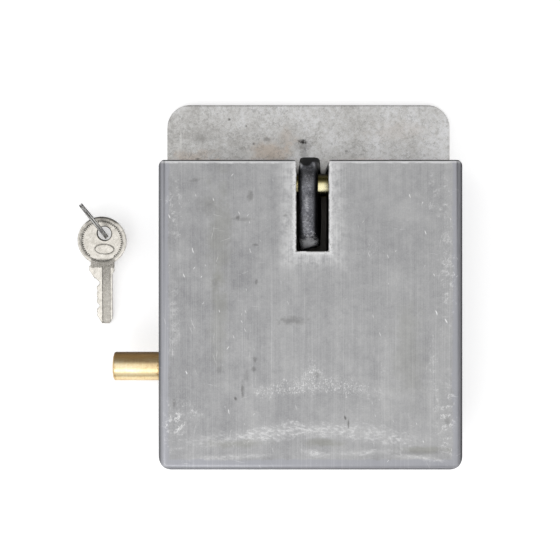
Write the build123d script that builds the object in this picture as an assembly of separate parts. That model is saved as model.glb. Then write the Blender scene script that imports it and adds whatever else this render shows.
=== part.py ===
"""Box lock for a gate: steel back plate and cover, keyed cylinder, brass bolt and steel link.

The lock lies on its back. X runs along the bolt, Y runs up the face and Z comes out of the
front. The origin is on the back face, at the centre of the cover. All sizes are in
millimetres and degrees.
"""

from build123d import *
from math import asin, cos, degrees, radians, sin
import os

# Fits and gaps
shaft_fit = 0.05
sliding_gap = 0.3
seat_gap = 0.2
end_gap = 3.0
overrun = 1.0

# Cover
cover_width = 150.0
cover_height = 152.5
cover_depth = 40.0
cover_wall = 3.0
least_bend = 0.2
side_bend = 4.0
bottom_bend = 3.0
top_bend = 1.0
bottom_corner = 7.5
top_corner = 3.5

# Back plate
plate_width = 149.2
plate_thickness = 5.0
strip_height = 33.25
strip_corner = 12.0

# Slot for the link
slot_width = 16.0
slot_depth = 45.0
slot_centre = 0.9
slot_corner = 1.0
slot_mouth = 1.3
liner_wall = 2.0
liner_reveal = 0.6

# Link
link_bar = 10.0
link_edge = 3.6
link_inner_width = 18.0
link_bottom_gap = 1.25
link_flat = 2.0
link_centre = 0.25
link_lean = 5.4
foot_slant = 17.0
foot_cut = 2.0

# Bolt
bolt_diameter = 12.0
bolt_below_top = 11.0
bolt_engagement = 9.0
bolt_setback = 0.5
bolt_chamfer = 1.2
bolt_end_space = 3.0
shank_diameter = 8.0
nut_flats = 13.0
nut_thickness = 6.5
thread_stand_out = 1.5

# Height of the bolt and of the cylinder above the back face
lock_axis = 24.2

# Guide blocks beside the slot
guide_length = 18.0
guide_height = 21.0
guide_roof = 4.5

# Barrel of the cylinder
barrel_diameter = 14.6
barrel_proud = 24.5
barrel_above_bottom = 49.45
barrel_round = 1.0
barrel_wall_gap = 0.15
collar_diameter = 20.0
collar_thickness = 3.0
clamp_length = 10.0
clamp_width = 34.0
clamp_roof = 7.0
clamp_tail = 1.0
grub_diameter = 4.0

# Plug and wafers
plug_diameter = 11.4
plug_head_diameter = 12.2
plug_head_thickness = 1.5
plug_recess = 0.3
plug_end_gap = 0.1
circlip_thickness = 1.0
circlip_outer = 14.2
circlip_inner = 9.6
circlip_opening = 60.0
plug_shoulder = 0.9
tail_side = 6.0
tail_length = 8.0
keyway_side_gap = 0.15
ward_height = 0.4
ward_gap = 0.3
wafer_thickness = 1.0
wafer_width = 6.0
wafer_groove_depth = 0.9
wafer_shift_per_cut = 0.5
ear_height = 1.0
ear_reach = 1.4
spring_diameter = 1.1
spring_length = 3.2

# Drum with the helical groove
drum_diameter = 22.0
groove_depth = 4.5
follower_diameter = 5.0
follower_side_gap = 0.35
follower_tip_gap = 0.5
groove_margin = 3.0
journal_diameter = 8.0
bearing_length = 9.0
bearing_width = 27.0
bearing_roof = 5.0

# Carriage plate and its studs
carriage_thickness = 4.0
beam_centre = 8.0
beam_width = 18.0
strip_width = 9.0
arm_width = 11.0
arm_below_axis = 9.0
lug_thickness = 4.0
lug_width = 14.0
lug_clearance = 2.0
lug_above_axis = 10.0
lug_round = 4.0
carriage_round = 1.5
stud_diameter = 8.0
stud_flange_diameter = 14.0
stud_flange_height = 2.7
stud_spigot_diameter = 6.0
stud_spacing = 58.5
slot_end_margin = 4.5
washer_thickness = 1.2
pan_head_diameter = 8.0
pan_head_height = 2.6
stud_screw_length = 8.0

# Countersunk screws from the back
screw_diameter = 4.0
screw_head_diameter = 8.0
screw_length = 14.0
screw_recess = 0.2
socket_flats = 2.5
socket_depth = 1.4
guide_screw_spacing = 12.0
bearing_screw_spacing = 18.0
clamp_screw_spacing = 25.0

# Blocks welded inside the cover for its screws
block_width = 7.0
block_length = 12.0
block_height = 12.0
upper_block_y = 44.0
lower_block_rise = 14.25

# Key
key_thickness = 2.2
blade_width = 8.1
blade_length = 28.0
bow_diameter = 25.4
bow_height = 44.4
bow_offset = -1.25
key_hole_diameter = 7.3
key_hole_height = 48.4
rim_width = 1.5
field_depth = 0.3
panel_length = 10.6
panel_width = 5.8
panel_height = 40.1
shoulder_stop = 8.0
shoulder_right = 5.0
shoulder_slope = 5.4
stop_offset = 0.6
stop_length = 3.0
stop_bevel = 0.8
tip_middle = 0.6
tip_flat = 4.0
tip_right_height = 2.6
tip_left_height = 4.4
blade_round = 0.4
tip_round = 0.8
milling_from = 2.9
milling_to = 7.1
milling_depth = 0.5
milling_run_out = 3.25
cut_first = 6.1
cut_pitch = 4.1
cut_depths = (1.5, 0.3, 0.3, 1.4, 0.2)
cut_flat = 0.9
key_tip_x = -108.1
key_tip_y = -5.85
key_turn_in_plan = -1.7

# Split ring of the key
ring_outer_diameter = 22.6
ring_wire = 1.05
ring_pitch = 1.15
ring_crossing = 26.0
ring_end_gap = 5.0
ring_crossing_place = 215.0
ring_direction = 128.8
ring_in_hole = 2.8
ring_aside = -0.4
ring_lean = 6.0
table_gap = 0.1

# Heights above the back face
front_face = plate_thickness + cover_depth
inner_front = front_face - cover_wall
carriage_bottom = plate_thickness + stud_flange_height + sliding_gap
carriage_top = carriage_bottom + carriage_thickness
post_top = carriage_top + sliding_gap

# Cover, plate and slot places
cover_top = cover_height / 2
inner_top = cover_top - cover_wall
inner_side = cover_width / 2 - cover_wall
plate_top = cover_top + strip_height
slot_left = slot_centre - slot_width / 2
slot_right = slot_centre + slot_width / 2
slot_bottom = cover_top - slot_depth
liner_left = slot_left - liner_reveal
liner_right = slot_right + liner_reveal
liner_bottom = slot_bottom - liner_reveal

# Bolt places
bolt_y = cover_top - bolt_below_top
bolt_radius = bolt_diameter / 2
bolt_travel = slot_width + bolt_engagement + bolt_setback
bolt_tip = slot_right + bolt_engagement
left_guide = (liner_left - liner_wall - guide_length, liner_left - liner_wall)
right_guide = (liner_right + liner_wall, liner_right + liner_wall + guide_length)
guide_top = inner_top - seat_gap
guide_bottom = guide_top - guide_height
lug_right = left_guide[0] - lug_clearance
lug_left = lug_right - lug_thickness

# Cylinder places along X
barrel_y = barrel_above_bottom - cover_top
barrel_radius = barrel_diameter / 2
barrel_front = -cover_width / 2 - barrel_proud
collar_end = -inner_side + collar_thickness
clamp_end = collar_end + clamp_length
barrel_rear = clamp_end + clamp_tail
plug_radius = plug_diameter / 2
bore_radius = plug_radius + shaft_fit
plug_front = barrel_front + plug_recess
head_end = plug_front + plug_head_thickness
circlip_start = barrel_rear + plug_end_gap
plug_end = circlip_start + circlip_thickness + plug_shoulder

# Drum places along X
groove_width = follower_diameter + 2 * follower_side_gap
drum_radius = drum_diameter / 2
core_radius = drum_radius - groove_depth
drum_length = bolt_travel + groove_width + 2 * groove_margin
drum_end = plug_end + drum_length
follower_x = drum_end - groove_margin - groove_width / 2
bearing_start = drum_end + sliding_gap
bearing_end = bearing_start + bearing_length

# Carriage and stud places
beam_left = -inner_side + end_gap + bolt_travel
stud_slot_width = stud_diameter + 2 * sliding_gap
first_stud = beam_left + slot_end_margin + stud_slot_width / 2
stud_places = (first_stud, first_stud + stud_spacing)
beam_right = stud_places[-1] + bolt_travel + stud_slot_width / 2 + slot_end_margin
beam_bottom = beam_centre - beam_width / 2
beam_top = beam_centre + beam_width / 2

# Key places
blade_left = -blade_width / 2
blade_right = blade_width / 2
cut_places = [cut_first + index * cut_pitch for index in range(len(cut_depths))]
wafer_places = [barrel_front + place for place in cut_places]
keyway_width = key_thickness + 2 * keyway_side_gap
keyway_height = blade_width + 2 * keyway_side_gap
keyway_end = barrel_front + blade_length + end_gap
ring_radius = (ring_outer_diameter - ring_wire) / 2
ring_foot = ring_radius * cos(radians(ring_lean)) + ring_pitch / 2 * sin(radians(ring_lean))
ring_height = ring_foot + ring_wire / 2 + table_gap
key_tip_height = key_thickness / 2 + table_gap
key_tilt = degrees(asin((ring_height - key_tip_height) / key_hole_height))


def outline(*corners):
    """Face with straight sides, from corners given as x, y and corner radius."""
    points = [(x, y) for x, y, radius in corners]
    radii = [radius for x, y, radius in corners]
    return make_face(FilletPolyline(*points, radius=radii, close=True))


def block(x_range, y_range, z_range):
    """Box between the ends of three ranges."""
    sides = [high - low for low, high in (x_range, y_range, z_range)]
    centre = [(low + high) / 2 for low, high in (x_range, y_range, z_range)]
    return Pos(*centre) * Box(*sides)


def centred(middle, width):
    """Range of a given width about its middle."""
    return (middle - width / 2, middle + width / 2)


def bar_x(radius, x_range, y, z):
    """Round bar along X."""
    return Pos(sum(x_range) / 2, y, z) * Rot(0, 90, 0) * Cylinder(radius, x_range[1] - x_range[0])


def bar_z(radius, x, y, z_range):
    """Round bar along Z."""
    return Pos(x, y, sum(z_range) / 2) * Cylinder(radius, z_range[1] - z_range[0])


def rear_screw(x, y, grow):
    """Countersunk screw from the back face, or its hole when grown by a clearance."""
    head = screw_head_diameter / 2 + grow
    shank = screw_diameter / 2 + grow
    cone_height = (screw_head_diameter - screw_diameter) / 2
    cone = Pos(x, y, screw_recess + cone_height / 2) * Cone(head, shank, cone_height)
    return cone + bar_z(shank, x, y, (screw_recess + cone_height / 2, screw_length + 4 * grow))


def finished_screw(x, y):
    """Countersunk screw with its hexagon socket."""
    socket = extrude(RegularPolygon(socket_flats / 2, 6, major_radius=False), socket_depth)
    return rear_screw(x, y, 0) - Pos(x, y, screw_recess) * socket


def rear_hole(x, y):
    """Hole for a rear screw through the plate and into the block that it holds."""
    entry = bar_z(screw_head_diameter / 2 + shaft_fit, x, y, (0, screw_recess))
    return rear_screw(x, y, shaft_fit) + entry


def cover_screw_places():
    """Places of the four screws that hold the cover."""
    x = inner_side - block_width / 2
    return [(side * x, y) for side in (-1, 1) for y in (lower_block_rise - cover_top, upper_block_y)]


def guide_screw_places(x_range):
    """Places of the two screws of one guide block."""
    y = (guide_bottom + guide_top) / 2
    return [(sum(x_range) / 2, y + side * guide_screw_spacing / 2) for side in (-1, 1)]


def bearing_screw_places():
    """Places of the two screws of the drum's bearing block."""
    x = (bearing_start + bearing_end) / 2
    return [(x, barrel_y + side * bearing_screw_spacing / 2) for side in (-1, 1)]


def clamp_screw_places():
    """Places of the two screws of the barrel's clamp."""
    x = (collar_end + clamp_end) / 2
    return [(x, barrel_y + side * clamp_screw_spacing / 2) for side in (-1, 1)]


def all_rear_screw_places():
    """Places of every screw that enters from the back face."""
    guides = guide_screw_places(left_guide) + guide_screw_places(right_guide)
    return cover_screw_places() + guides + bearing_screw_places() + clamp_screw_places()


def make_back_plate():
    """Flat plate with a rounded strip above the cover."""
    half = plate_width / 2
    face = outline(
        (-half, -cover_top, bottom_corner),
        (half, -cover_top, bottom_corner),
        (half, plate_top, strip_corner),
        (-half, plate_top, strip_corner),
    )
    plate = extrude(face, plate_thickness)
    for x, y in all_rear_screw_places():
        plate -= rear_hole(x, y)
    for x in stud_places:
        plate -= bar_z(stud_spigot_diameter / 2 + shaft_fit, x, beam_centre, (0, plate_thickness))
    return plate


def bent_tray(inset, plan):
    """Solid inside the bent front, sides, bottom and top, set in from the outer faces."""
    half_width = cover_width / 2 - inset
    half_height = cover_top - inset
    top = front_face - inset
    low = plate_thickness
    side, bottom, upper = [max(bend - inset, least_bend) for bend in (side_bend, bottom_bend, top_bend)]
    across = outline(
        (-half_width, low, 0),
        (half_width, low, 0),
        (half_width, top, side),
        (-half_width, top, side),
    )
    along = outline(
        (-half_height, low, 0),
        (half_height, low, 0),
        (half_height, top, upper),
        (-half_height, top, bottom),
    )
    sides = extrude(Plane.XZ * across, cover_height, both=True)
    ends = extrude(Plane.YZ * along, cover_width, both=True)
    return Pos(0, 0, low) * extrude(plan, top - low) & sides & ends


def make_front_cover():
    """Tray of bent sheet with the link's slot through its front and its top wall."""
    outer_x = cover_width / 2
    outer_plan = outline(
        (-outer_x, -cover_top, bottom_corner),
        (outer_x, -cover_top, bottom_corner),
        (outer_x, cover_top, top_corner),
        (slot_right, cover_top, slot_mouth),
        (slot_right, slot_bottom, slot_corner),
        (slot_left, slot_bottom, slot_corner),
        (slot_left, cover_top, slot_mouth),
        (-outer_x, cover_top, top_corner),
    )
    inner_corner = bottom_corner - cover_wall
    inner_plan = outline(
        (-inner_side, -inner_top, inner_corner),
        (inner_side, -inner_top, inner_corner),
        (inner_side, inner_top, 0),
        (-inner_side, inner_top, 0),
    )
    cover = bent_tray(0, outer_plan) - bent_tray(cover_wall, inner_plan)
    barrel_hole = barrel_radius + barrel_wall_gap
    return cover - bar_x(barrel_hole, (-outer_x - overrun, -inner_side + overrun), barrel_y, lock_axis)


def make_cover_blocks():
    """Four tapped blocks welded to the side walls inside the cover."""
    blocks = []
    for x, y in cover_screw_places():
        height = (plate_thickness, plate_thickness + block_height)
        body = block(centred(x, block_width), centred(y, block_length), height)
        blocks.append(body - rear_hole(x, y))
    return Compound(children=blocks)


def make_slot_liner():
    """Channel that closes the inside of the lock from the slot."""
    top = inner_top - seat_gap
    outer = outline(
        (liner_left - liner_wall, liner_bottom - liner_wall, slot_corner + liner_wall),
        (liner_right + liner_wall, liner_bottom - liner_wall, slot_corner + liner_wall),
        (liner_right + liner_wall, top, 0),
        (liner_left - liner_wall, top, 0),
    )
    inner = outline(
        (liner_left, liner_bottom, slot_corner),
        (liner_right, liner_bottom, slot_corner),
        (liner_right, top + overrun, 0),
        (liner_left, top + overrun, 0),
    )
    height = inner_front - seat_gap - plate_thickness
    channel = Pos(0, 0, plate_thickness) * extrude(outer - inner, height)
    across = (liner_left - liner_wall - overrun, liner_right + liner_wall + overrun)
    return channel - bar_x(bolt_radius + sliding_gap, across, bolt_y, lock_axis)


def guide_body(x_range):
    """Solid block of one bolt guide with its screw holes."""
    height = (plate_thickness, lock_axis + bolt_radius + guide_roof)
    body = block(x_range, (guide_bottom, guide_top), height)
    for x, y in guide_screw_places(x_range):
        body -= rear_hole(x, y)
    return body


def make_left_guide():
    """Block that carries the bolt on the side it comes from."""
    through = (left_guide[0] - overrun, left_guide[1] + overrun)
    return guide_body(left_guide) - bar_x(bolt_radius + shaft_fit, through, bolt_y, lock_axis)


def make_right_guide():
    """Block with the blind hole that takes the bolt's tip."""
    blind = (right_guide[0] - overrun, bolt_tip + bolt_end_space)
    return guide_body(right_guide) - bar_x(bolt_radius + shaft_fit, blind, bolt_y, lock_axis)


def make_link():
    """Closed link of rounded square bar on the bolt, with a flat crown and a slanting foot."""
    bar = link_bar / 2
    bend = link_inner_width / 2 + bar
    crown_centre = bolt_y + bolt_radius + sliding_gap - link_inner_width / 2
    foot = liner_bottom + link_bottom_gap - foot_cut
    straight = crown_centre - (foot + bend + bar)
    half = straight / 2
    section = RectangleRounded(link_bar, link_bar, link_edge)
    end = Pos(0, 0, bend) * Rot(90, 0, 0) * section
    link = Pos(0, half, 0) * revolve(end, -Axis.X, 180)
    link += Pos(0, -half, 0) * revolve(end, Axis.X, 180)
    for side in (-1, 1):
        link += Pos(0, half, side * bend) * Rot(90, 0, 0) * extrude(section, straight)
    top = half + bend + bar
    link -= block(centred(0, 2 * link_bar), (top - link_flat, top + overrun), centred(0, 4 * bend))
    below = block(centred(0, 4 * link_bar), (-2 * link_bar, 0), centred(0, 4 * bend))
    link -= Pos(-bar, foot_cut - top, 0) * Rot(0, 0, foot_slant) * below
    lean = radians(link_lean)
    reach = (bend + bar - link_edge) * cos(lean) + (bar - link_edge) * sin(lean) + link_edge
    height = plate_thickness + sliding_gap + reach
    return Pos(link_centre, crown_centre - half, height) * Rot(0, -link_lean, 0) * link


def make_bolt():
    """Brass bolt with a chamfered tip and a thinner shank through the carriage's lug."""
    body = bar_x(bolt_radius, (lug_right, bolt_tip), bolt_y, lock_axis)
    body = chamfer(body.edges().group_by(Axis.X)[-1], bolt_chamfer)
    shank_end = lug_left - nut_thickness - thread_stand_out
    return body + bar_x(shank_diameter / 2, (shank_end, lug_right), bolt_y, lock_axis)


def make_bolt_nut():
    """Nut that holds the bolt to the lug."""
    face = RegularPolygon(nut_flats / 2, 6, major_radius=False) - Circle(shank_diameter / 2 + shaft_fit)
    return Pos(lug_left, bolt_y, lock_axis) * Rot(0, -90, 0) * extrude(face, nut_thickness)


def make_carriage():
    """Sliding plate that joins the bolt to the drum's follower."""
    arm_left = follower_x - arm_width / 2
    arm_right = follower_x + arm_width / 2
    arm_bottom = barrel_y - arm_below_axis
    strip_left = lug_right - strip_width
    strip_top = bolt_y + lug_width / 2
    corners = [
        (arm_left, arm_bottom),
        (arm_right, arm_bottom),
        (arm_right, beam_bottom),
        (beam_right, beam_bottom),
        (beam_right, beam_top),
        (lug_right, beam_top),
        (lug_right, strip_top),
        (strip_left, strip_top),
        (strip_left, beam_top),
        (beam_left, beam_top),
        (beam_left, beam_bottom),
        (arm_left, beam_bottom),
    ]
    face = outline(*[(x, y, carriage_round) for x, y in corners])
    for x in stud_places:
        face -= Pos(x + bolt_travel / 2, beam_centre) * SlotCenterToCenter(bolt_travel, stud_slot_width)
    face -= Pos(follower_x, barrel_y) * Circle(follower_diameter / 2 + shaft_fit)
    plate = Pos(0, 0, carriage_bottom) * extrude(face, carriage_thickness)
    low, high = centred(bolt_y, lug_width)
    lug_top = lock_axis + lug_above_axis
    lug_face = outline(
        (low, carriage_bottom, 0),
        (high, carriage_bottom, 0),
        (high, lug_top, lug_round),
        (low, lug_top, lug_round),
    )
    lug = extrude(Plane.YZ.offset(lug_left) * lug_face, lug_thickness)
    hole = bar_x(shank_diameter / 2 + shaft_fit, (lug_left - overrun, lug_right + overrun), bolt_y, lock_axis)
    return plate + lug - hole


def make_follower_pin():
    """Pin in the carriage's arm that runs in the drum's groove."""
    top = lock_axis - core_radius - follower_tip_gap
    return bar_z(follower_diameter / 2, follower_x, barrel_y, (carriage_bottom, top))


def drum_groove():
    """Cutter for the drum's groove: one turn of a helix with a round end at both ends."""
    depth = groove_depth + overrun
    middle = core_radius + depth / 2
    start = groove_margin + groove_width / 2
    path = Helix(pitch=bolt_travel, height=bolt_travel, radius=middle, center=(0, 0, start))
    section = Plane(origin=path @ 0, x_dir=(1, 0, 0), z_dir=path % 0) * Rectangle(depth, groove_width)
    groove = sweep(section, path=path, is_frenet=True)
    for height in (start, start + bolt_travel):
        groove += Pos(middle, 0, height) * Rot(0, 90, 0) * Cylinder(groove_width / 2, depth)
    return groove


def make_drum():
    """Drum with one turn of helical groove, a square socket and a bearing journal."""
    body = Pos(0, 0, drum_length / 2) * Cylinder(drum_radius, drum_length) - drum_groove()
    journal_length = bearing_length + sliding_gap
    body += Pos(0, 0, drum_length + journal_length / 2) * Cylinder(journal_diameter / 2, journal_length)
    socket = tail_side + 2 * shaft_fit
    socket_length = tail_length + sliding_gap
    body -= Pos(0, 0, socket_length / 2) * Box(socket, socket, socket_length)
    return Pos(plug_end, barrel_y, lock_axis) * Rot(0, 90, 0) * body


def make_drum_bearing():
    """Block that carries the drum's far end."""
    height = (plate_thickness, lock_axis + journal_diameter / 2 + bearing_roof)
    body = block((bearing_start, bearing_end), centred(barrel_y, bearing_width), height)
    for x, y in bearing_screw_places():
        body -= rear_hole(x, y)
    through = (bearing_start - overrun, bearing_end + overrun)
    return body - bar_x(journal_diameter / 2 + shaft_fit, through, barrel_y, lock_axis)


def make_barrel():
    """Round brass barrel with a collar behind the cover's wall and a bore for the plug."""
    body = bar_x(barrel_radius, (barrel_front, barrel_rear), barrel_y, lock_axis)
    body = fillet(body.edges().group_by(Axis.X)[0], barrel_round)
    body += bar_x(collar_diameter / 2, (-inner_side, collar_end), barrel_y, lock_axis)
    body -= bar_x(bore_radius, (barrel_front - overrun, barrel_rear + overrun), barrel_y, lock_axis)
    seat = plug_head_diameter / 2 + shaft_fit
    seat_end = head_end + plug_end_gap
    body -= bar_x(seat, (barrel_front - overrun, seat_end), barrel_y, lock_axis)
    groove_end = wafer_places[-1] + 2 * wafer_thickness
    reach = 2 * (bore_radius + wafer_groove_depth)
    groove_width_z = wafer_width + 4 * shaft_fit
    grooves = block((seat_end, groove_end), centred(barrel_y, reach), centred(lock_axis, groove_width_z))
    return body - grooves


def make_barrel_clamp():
    """Block on the back plate that holds the barrel behind its collar."""
    height = (plate_thickness, lock_axis + barrel_radius + clamp_roof)
    body = block((collar_end, clamp_end), centred(barrel_y, clamp_width), height)
    for x, y in clamp_screw_places():
        body -= rear_hole(x, y)
    through = (collar_end - overrun, clamp_end + overrun)
    body -= bar_x(barrel_radius + shaft_fit, through, barrel_y, lock_axis)
    middle = (collar_end + clamp_end) / 2
    return body - bar_z(grub_diameter / 2 + shaft_fit, middle, barrel_y, (lock_axis, height[1] + overrun))


def make_grub_screw():
    """Screw that stops the barrel from turning in its clamp."""
    middle = (collar_end + clamp_end) / 2
    low = lock_axis + barrel_radius + shaft_fit
    high = lock_axis + barrel_radius + clamp_roof
    socket = extrude(RegularPolygon(socket_flats / 2, 6, major_radius=False), -socket_depth)
    return bar_z(grub_diameter / 2, middle, barrel_y, (low, high)) - Pos(middle, barrel_y, high) * socket


def spring_room(x, grow):
    """Pocket beside a wafer, in the plug, for its spring and ear."""
    z = lock_axis + wafer_width / 2
    y_range = (barrel_y - spring_length / 2 - grow, barrel_y + spring_length / 2 + ear_height + grow)
    return block(centred(x, spring_diameter + 2 * grow), y_range, (z, z + ear_reach + grow))


def make_plug():
    """Brass plug with its head, keyway, wafer slots, circlip groove and square tail."""
    plug = bar_x(plug_head_diameter / 2, (plug_front, head_end), barrel_y, lock_axis)
    plug += bar_x(plug_radius, (plug_front, plug_end), barrel_y, lock_axis)
    tail = centred(barrel_y, tail_side), centred(lock_axis, tail_side)
    plug += block((plug_end, plug_end + tail_length), *tail)
    groove = (circlip_start, circlip_start + circlip_thickness)
    outer = bar_x(plug_radius + overrun, groove, barrel_y, lock_axis)
    core = bar_x(circlip_inner / 2 - shaft_fit, (barrel_rear, plug_end), barrel_y, lock_axis)
    plug -= outer - core
    keyway_length = (plug_front - overrun, keyway_end)
    keyway = block(keyway_length, centred(barrel_y, keyway_height), centred(lock_axis, keyway_width))
    ward_y = (barrel_y + blade_left + milling_from + ward_gap, barrel_y + blade_left + milling_to - ward_gap)
    ward_base = lock_axis + keyway_width / 2
    ward = block((plug_front, keyway_end), ward_y, (ward_base - ward_height, ward_base))
    plug -= keyway - ward
    wide = centred(lock_axis, wafer_width + 2 * shaft_fit)
    tall = centred(barrel_y, plug_diameter + 2 * overrun)
    for x in wafer_places:
        plug -= block(centred(x, wafer_thickness + 2 * shaft_fit), tall, wide)
        plug -= spring_room(x, shaft_fit)
    return plug


def make_wafers():
    """Flat wafers in the plug, each with its window set to one cut of the key."""
    wafers = []
    for x, depth in zip(wafer_places, cut_depths):
        thick = centred(x, wafer_thickness)
        blank = block(thick, centred(barrel_y, plug_diameter), centred(lock_axis, wafer_width))
        blank &= bar_x(plug_radius - shaft_fit, thick, barrel_y, lock_axis)
        z = lock_axis + wafer_width / 2
        ear_y = barrel_y + spring_length / 2
        blank += block(thick, (ear_y, ear_y + ear_height), (z - shaft_fit, z + ear_reach))
        shift = depth * wafer_shift_per_cut
        window = block(thick, centred(barrel_y + shift, keyway_height), centred(lock_axis, keyway_width))
        wafers.append(blank - window)
    return Compound(children=wafers)


def make_wafer_springs():
    """Small springs under the wafers' ears, as plain cylinders."""
    z = lock_axis + wafer_width / 2 + ear_reach / 2 + shaft_fit
    length = spring_length - 2 * shaft_fit
    spring = Rot(90, 0, 0) * Cylinder(spring_diameter / 2, length)
    return Compound(children=[Pos(x, barrel_y, z) * spring for x in wafer_places])


def make_plug_circlip():
    """Open ring in the plug's groove behind the barrel."""
    face = Circle(circlip_outer / 2) - Circle(circlip_inner / 2)
    far = circlip_outer
    half_opening = far * sin(radians(circlip_opening / 2))
    wedge = make_face(Polyline((0, 0), (far, -half_opening), (far, half_opening), close=True))
    return Pos(circlip_start, barrel_y, lock_axis) * Rot(0, 90, 0) * extrude(face - wedge, circlip_thickness)


def make_guide_studs():
    """Two shouldered studs riveted in the back plate, on which the carriage slides."""
    studs = []
    flange = (plate_thickness, plate_thickness + stud_flange_height)
    for x in stud_places:
        stud = bar_z(stud_spigot_diameter / 2, x, beam_centre, (screw_recess, plate_thickness))
        stud += bar_z(stud_flange_diameter / 2, x, beam_centre, flange)
        stud += bar_z(stud_diameter / 2, x, beam_centre, (plate_thickness, post_top))
        depth = (post_top - stud_screw_length, post_top)
        studs.append(stud - bar_z(screw_diameter / 2 + shaft_fit, x, beam_centre, depth))
    return Compound(children=studs)


def make_stud_washers():
    """Washers that keep the carriage on its studs."""
    face = Circle(stud_flange_diameter / 2) - Circle(screw_diameter / 2 + shaft_fit)
    washers = [Pos(x, beam_centre, post_top) * extrude(face, washer_thickness) for x in stud_places]
    return Compound(children=washers)


def make_stud_screws():
    """Pan head screws on top of the washers."""
    screws = []
    seat = post_top + washer_thickness
    for x in stud_places:
        head = bar_z(pan_head_diameter / 2, x, beam_centre, (seat, seat + pan_head_height))
        socket = extrude(RegularPolygon(socket_flats / 2, 6, major_radius=False), -socket_depth)
        head -= Pos(x, beam_centre, seat + pan_head_height) * socket
        shank_start = post_top - stud_screw_length + end_gap / 2
        screws.append(head + bar_z(screw_diameter / 2, x, beam_centre, (shank_start, seat)))
    return Compound(children=screws)


def screw_group(places):
    """Group of rear screws."""
    return Compound(children=[finished_screw(x, y) for x, y in places])


def cut_notch(place, depth):
    """Notch in the blade's left edge for one wafer, with sloping sides."""
    middle = blade_length - place
    floor = cut_flat / 2
    mouth = floor + depth + overrun
    return make_face(Polyline(
        (blade_left - overrun, middle - mouth),
        (blade_left + depth, middle - floor),
        (blade_left + depth, middle + floor),
        (blade_left - overrun, middle + mouth),
        close=True,
    ))


def blade_face():
    """Outline of the key's blade and of the neck that runs up into the bow, its tip at the origin."""
    stop_base = blade_length + stop_offset
    stop_top = stop_base + stop_length
    face = outline(
        (tip_middle - tip_flat / 2, 0, blade_round),
        (tip_middle + tip_flat / 2, 0, tip_round),
        (blade_right, tip_right_height, tip_round),
        (blade_right, blade_length - stop_bevel, 0),
        (shoulder_right, blade_length, blade_round),
        (shoulder_right, bow_height, 0),
        (stop_bevel - shoulder_stop, bow_height, 0),
        (stop_bevel - shoulder_stop, stop_top, blade_round),
        (-shoulder_stop, stop_top - stop_bevel, blade_round),
        (-shoulder_stop, stop_base, blade_round),
        (blade_left, blade_length - shoulder_slope, 0),
        (blade_left, tip_left_height, blade_round),
    )
    for place, depth in zip(cut_places, cut_depths):
        face -= cut_notch(place, depth)
    return face


def flat_key():
    """Key lying flat, its tip at the origin and its blade along Y."""
    half = key_thickness / 2
    bow = Pos(bow_offset, bow_height) * Circle(bow_diameter / 2)
    hole = Pos(0, key_hole_height) * Circle(key_hole_diameter / 2)
    key = extrude(bow + blade_face() - hole, half, both=True)
    field = Pos(bow_offset, bow_height) * Circle(bow_diameter / 2 - rim_width)
    panel = Pos(0, panel_height) * Ellipse(panel_length / 2, panel_width / 2)
    for side in (-1, 1):
        floor = Pos(0, 0, side * (half - field_depth))
        key -= floor * extrude(field - panel, side * field_depth)
    milling = block(
        (blade_left + milling_from, blade_left + milling_to),
        (-overrun, blade_length + milling_run_out),
        (half - milling_depth, half + overrun),
    )
    return key - milling


def key_place():
    """Place of the key: its tip on the table and its bow held up by the ring."""
    return Pos(key_tip_x, key_tip_y, key_tip_height) * Rot(0, 0, key_turn_in_plan) * Rot(key_tilt, 0, 0)


def make_key():
    """Key beside the lock."""
    return key_place() * flat_key()


def flat_turn(level, start, end):
    """One turn of the ring's wire at a level, between two angles."""
    section = Plane.XZ * Pos(ring_radius, level) * Circle(ring_wire / 2)
    return Rot(0, 0, start) * revolve(section, Axis.Z, end - start)


def wire_crossing():
    """Short run of the wire that crosses from one turn to the other."""
    half = radians(ring_crossing / 2)
    level = ring_pitch / 2
    forward, aside = ring_radius * cos(half), ring_radius * sin(half)
    ends = [Vector(forward, side * aside, side * level) for side in (-1, 1)]
    headings = [Vector(-side * sin(half), cos(half), 0) for side in (-1, 1)]
    path = Spline(ends[0], (ring_radius, 0, 0), ends[1], tangents=headings)
    return sweep(Plane(origin=ends[0], z_dir=headings[0]) * Circle(ring_wire / 2), path=path)


def flat_ring():
    """Split ring of two turns side by side, its crossing at angle zero."""
    half = ring_crossing / 2
    lower = flat_turn(-ring_pitch / 2, half + ring_end_gap, 360 - half)
    upper = flat_turn(ring_pitch / 2, half, 360 - half - ring_end_gap)
    return lower + wire_crossing() + upper


def make_key_ring():
    """Split ring that stands on edge through the key's hole."""
    hole = (key_place() * Pos(0, key_hole_height, 0)).position
    along = Vector(cos(radians(ring_direction)), sin(radians(ring_direction)), 0)
    aside = Vector(along.Y, -along.X, 0)
    centre = hole + along * (ring_outer_diameter / 2 - ring_in_hole) + aside * ring_aside
    upright = Plane(origin=(centre.X, centre.Y, ring_height), x_dir=(0, 0, 1), z_dir=aside)
    return upright * Rot(0, -ring_lean, 0) * Rot(0, 0, ring_crossing_place) * flat_ring()


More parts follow.
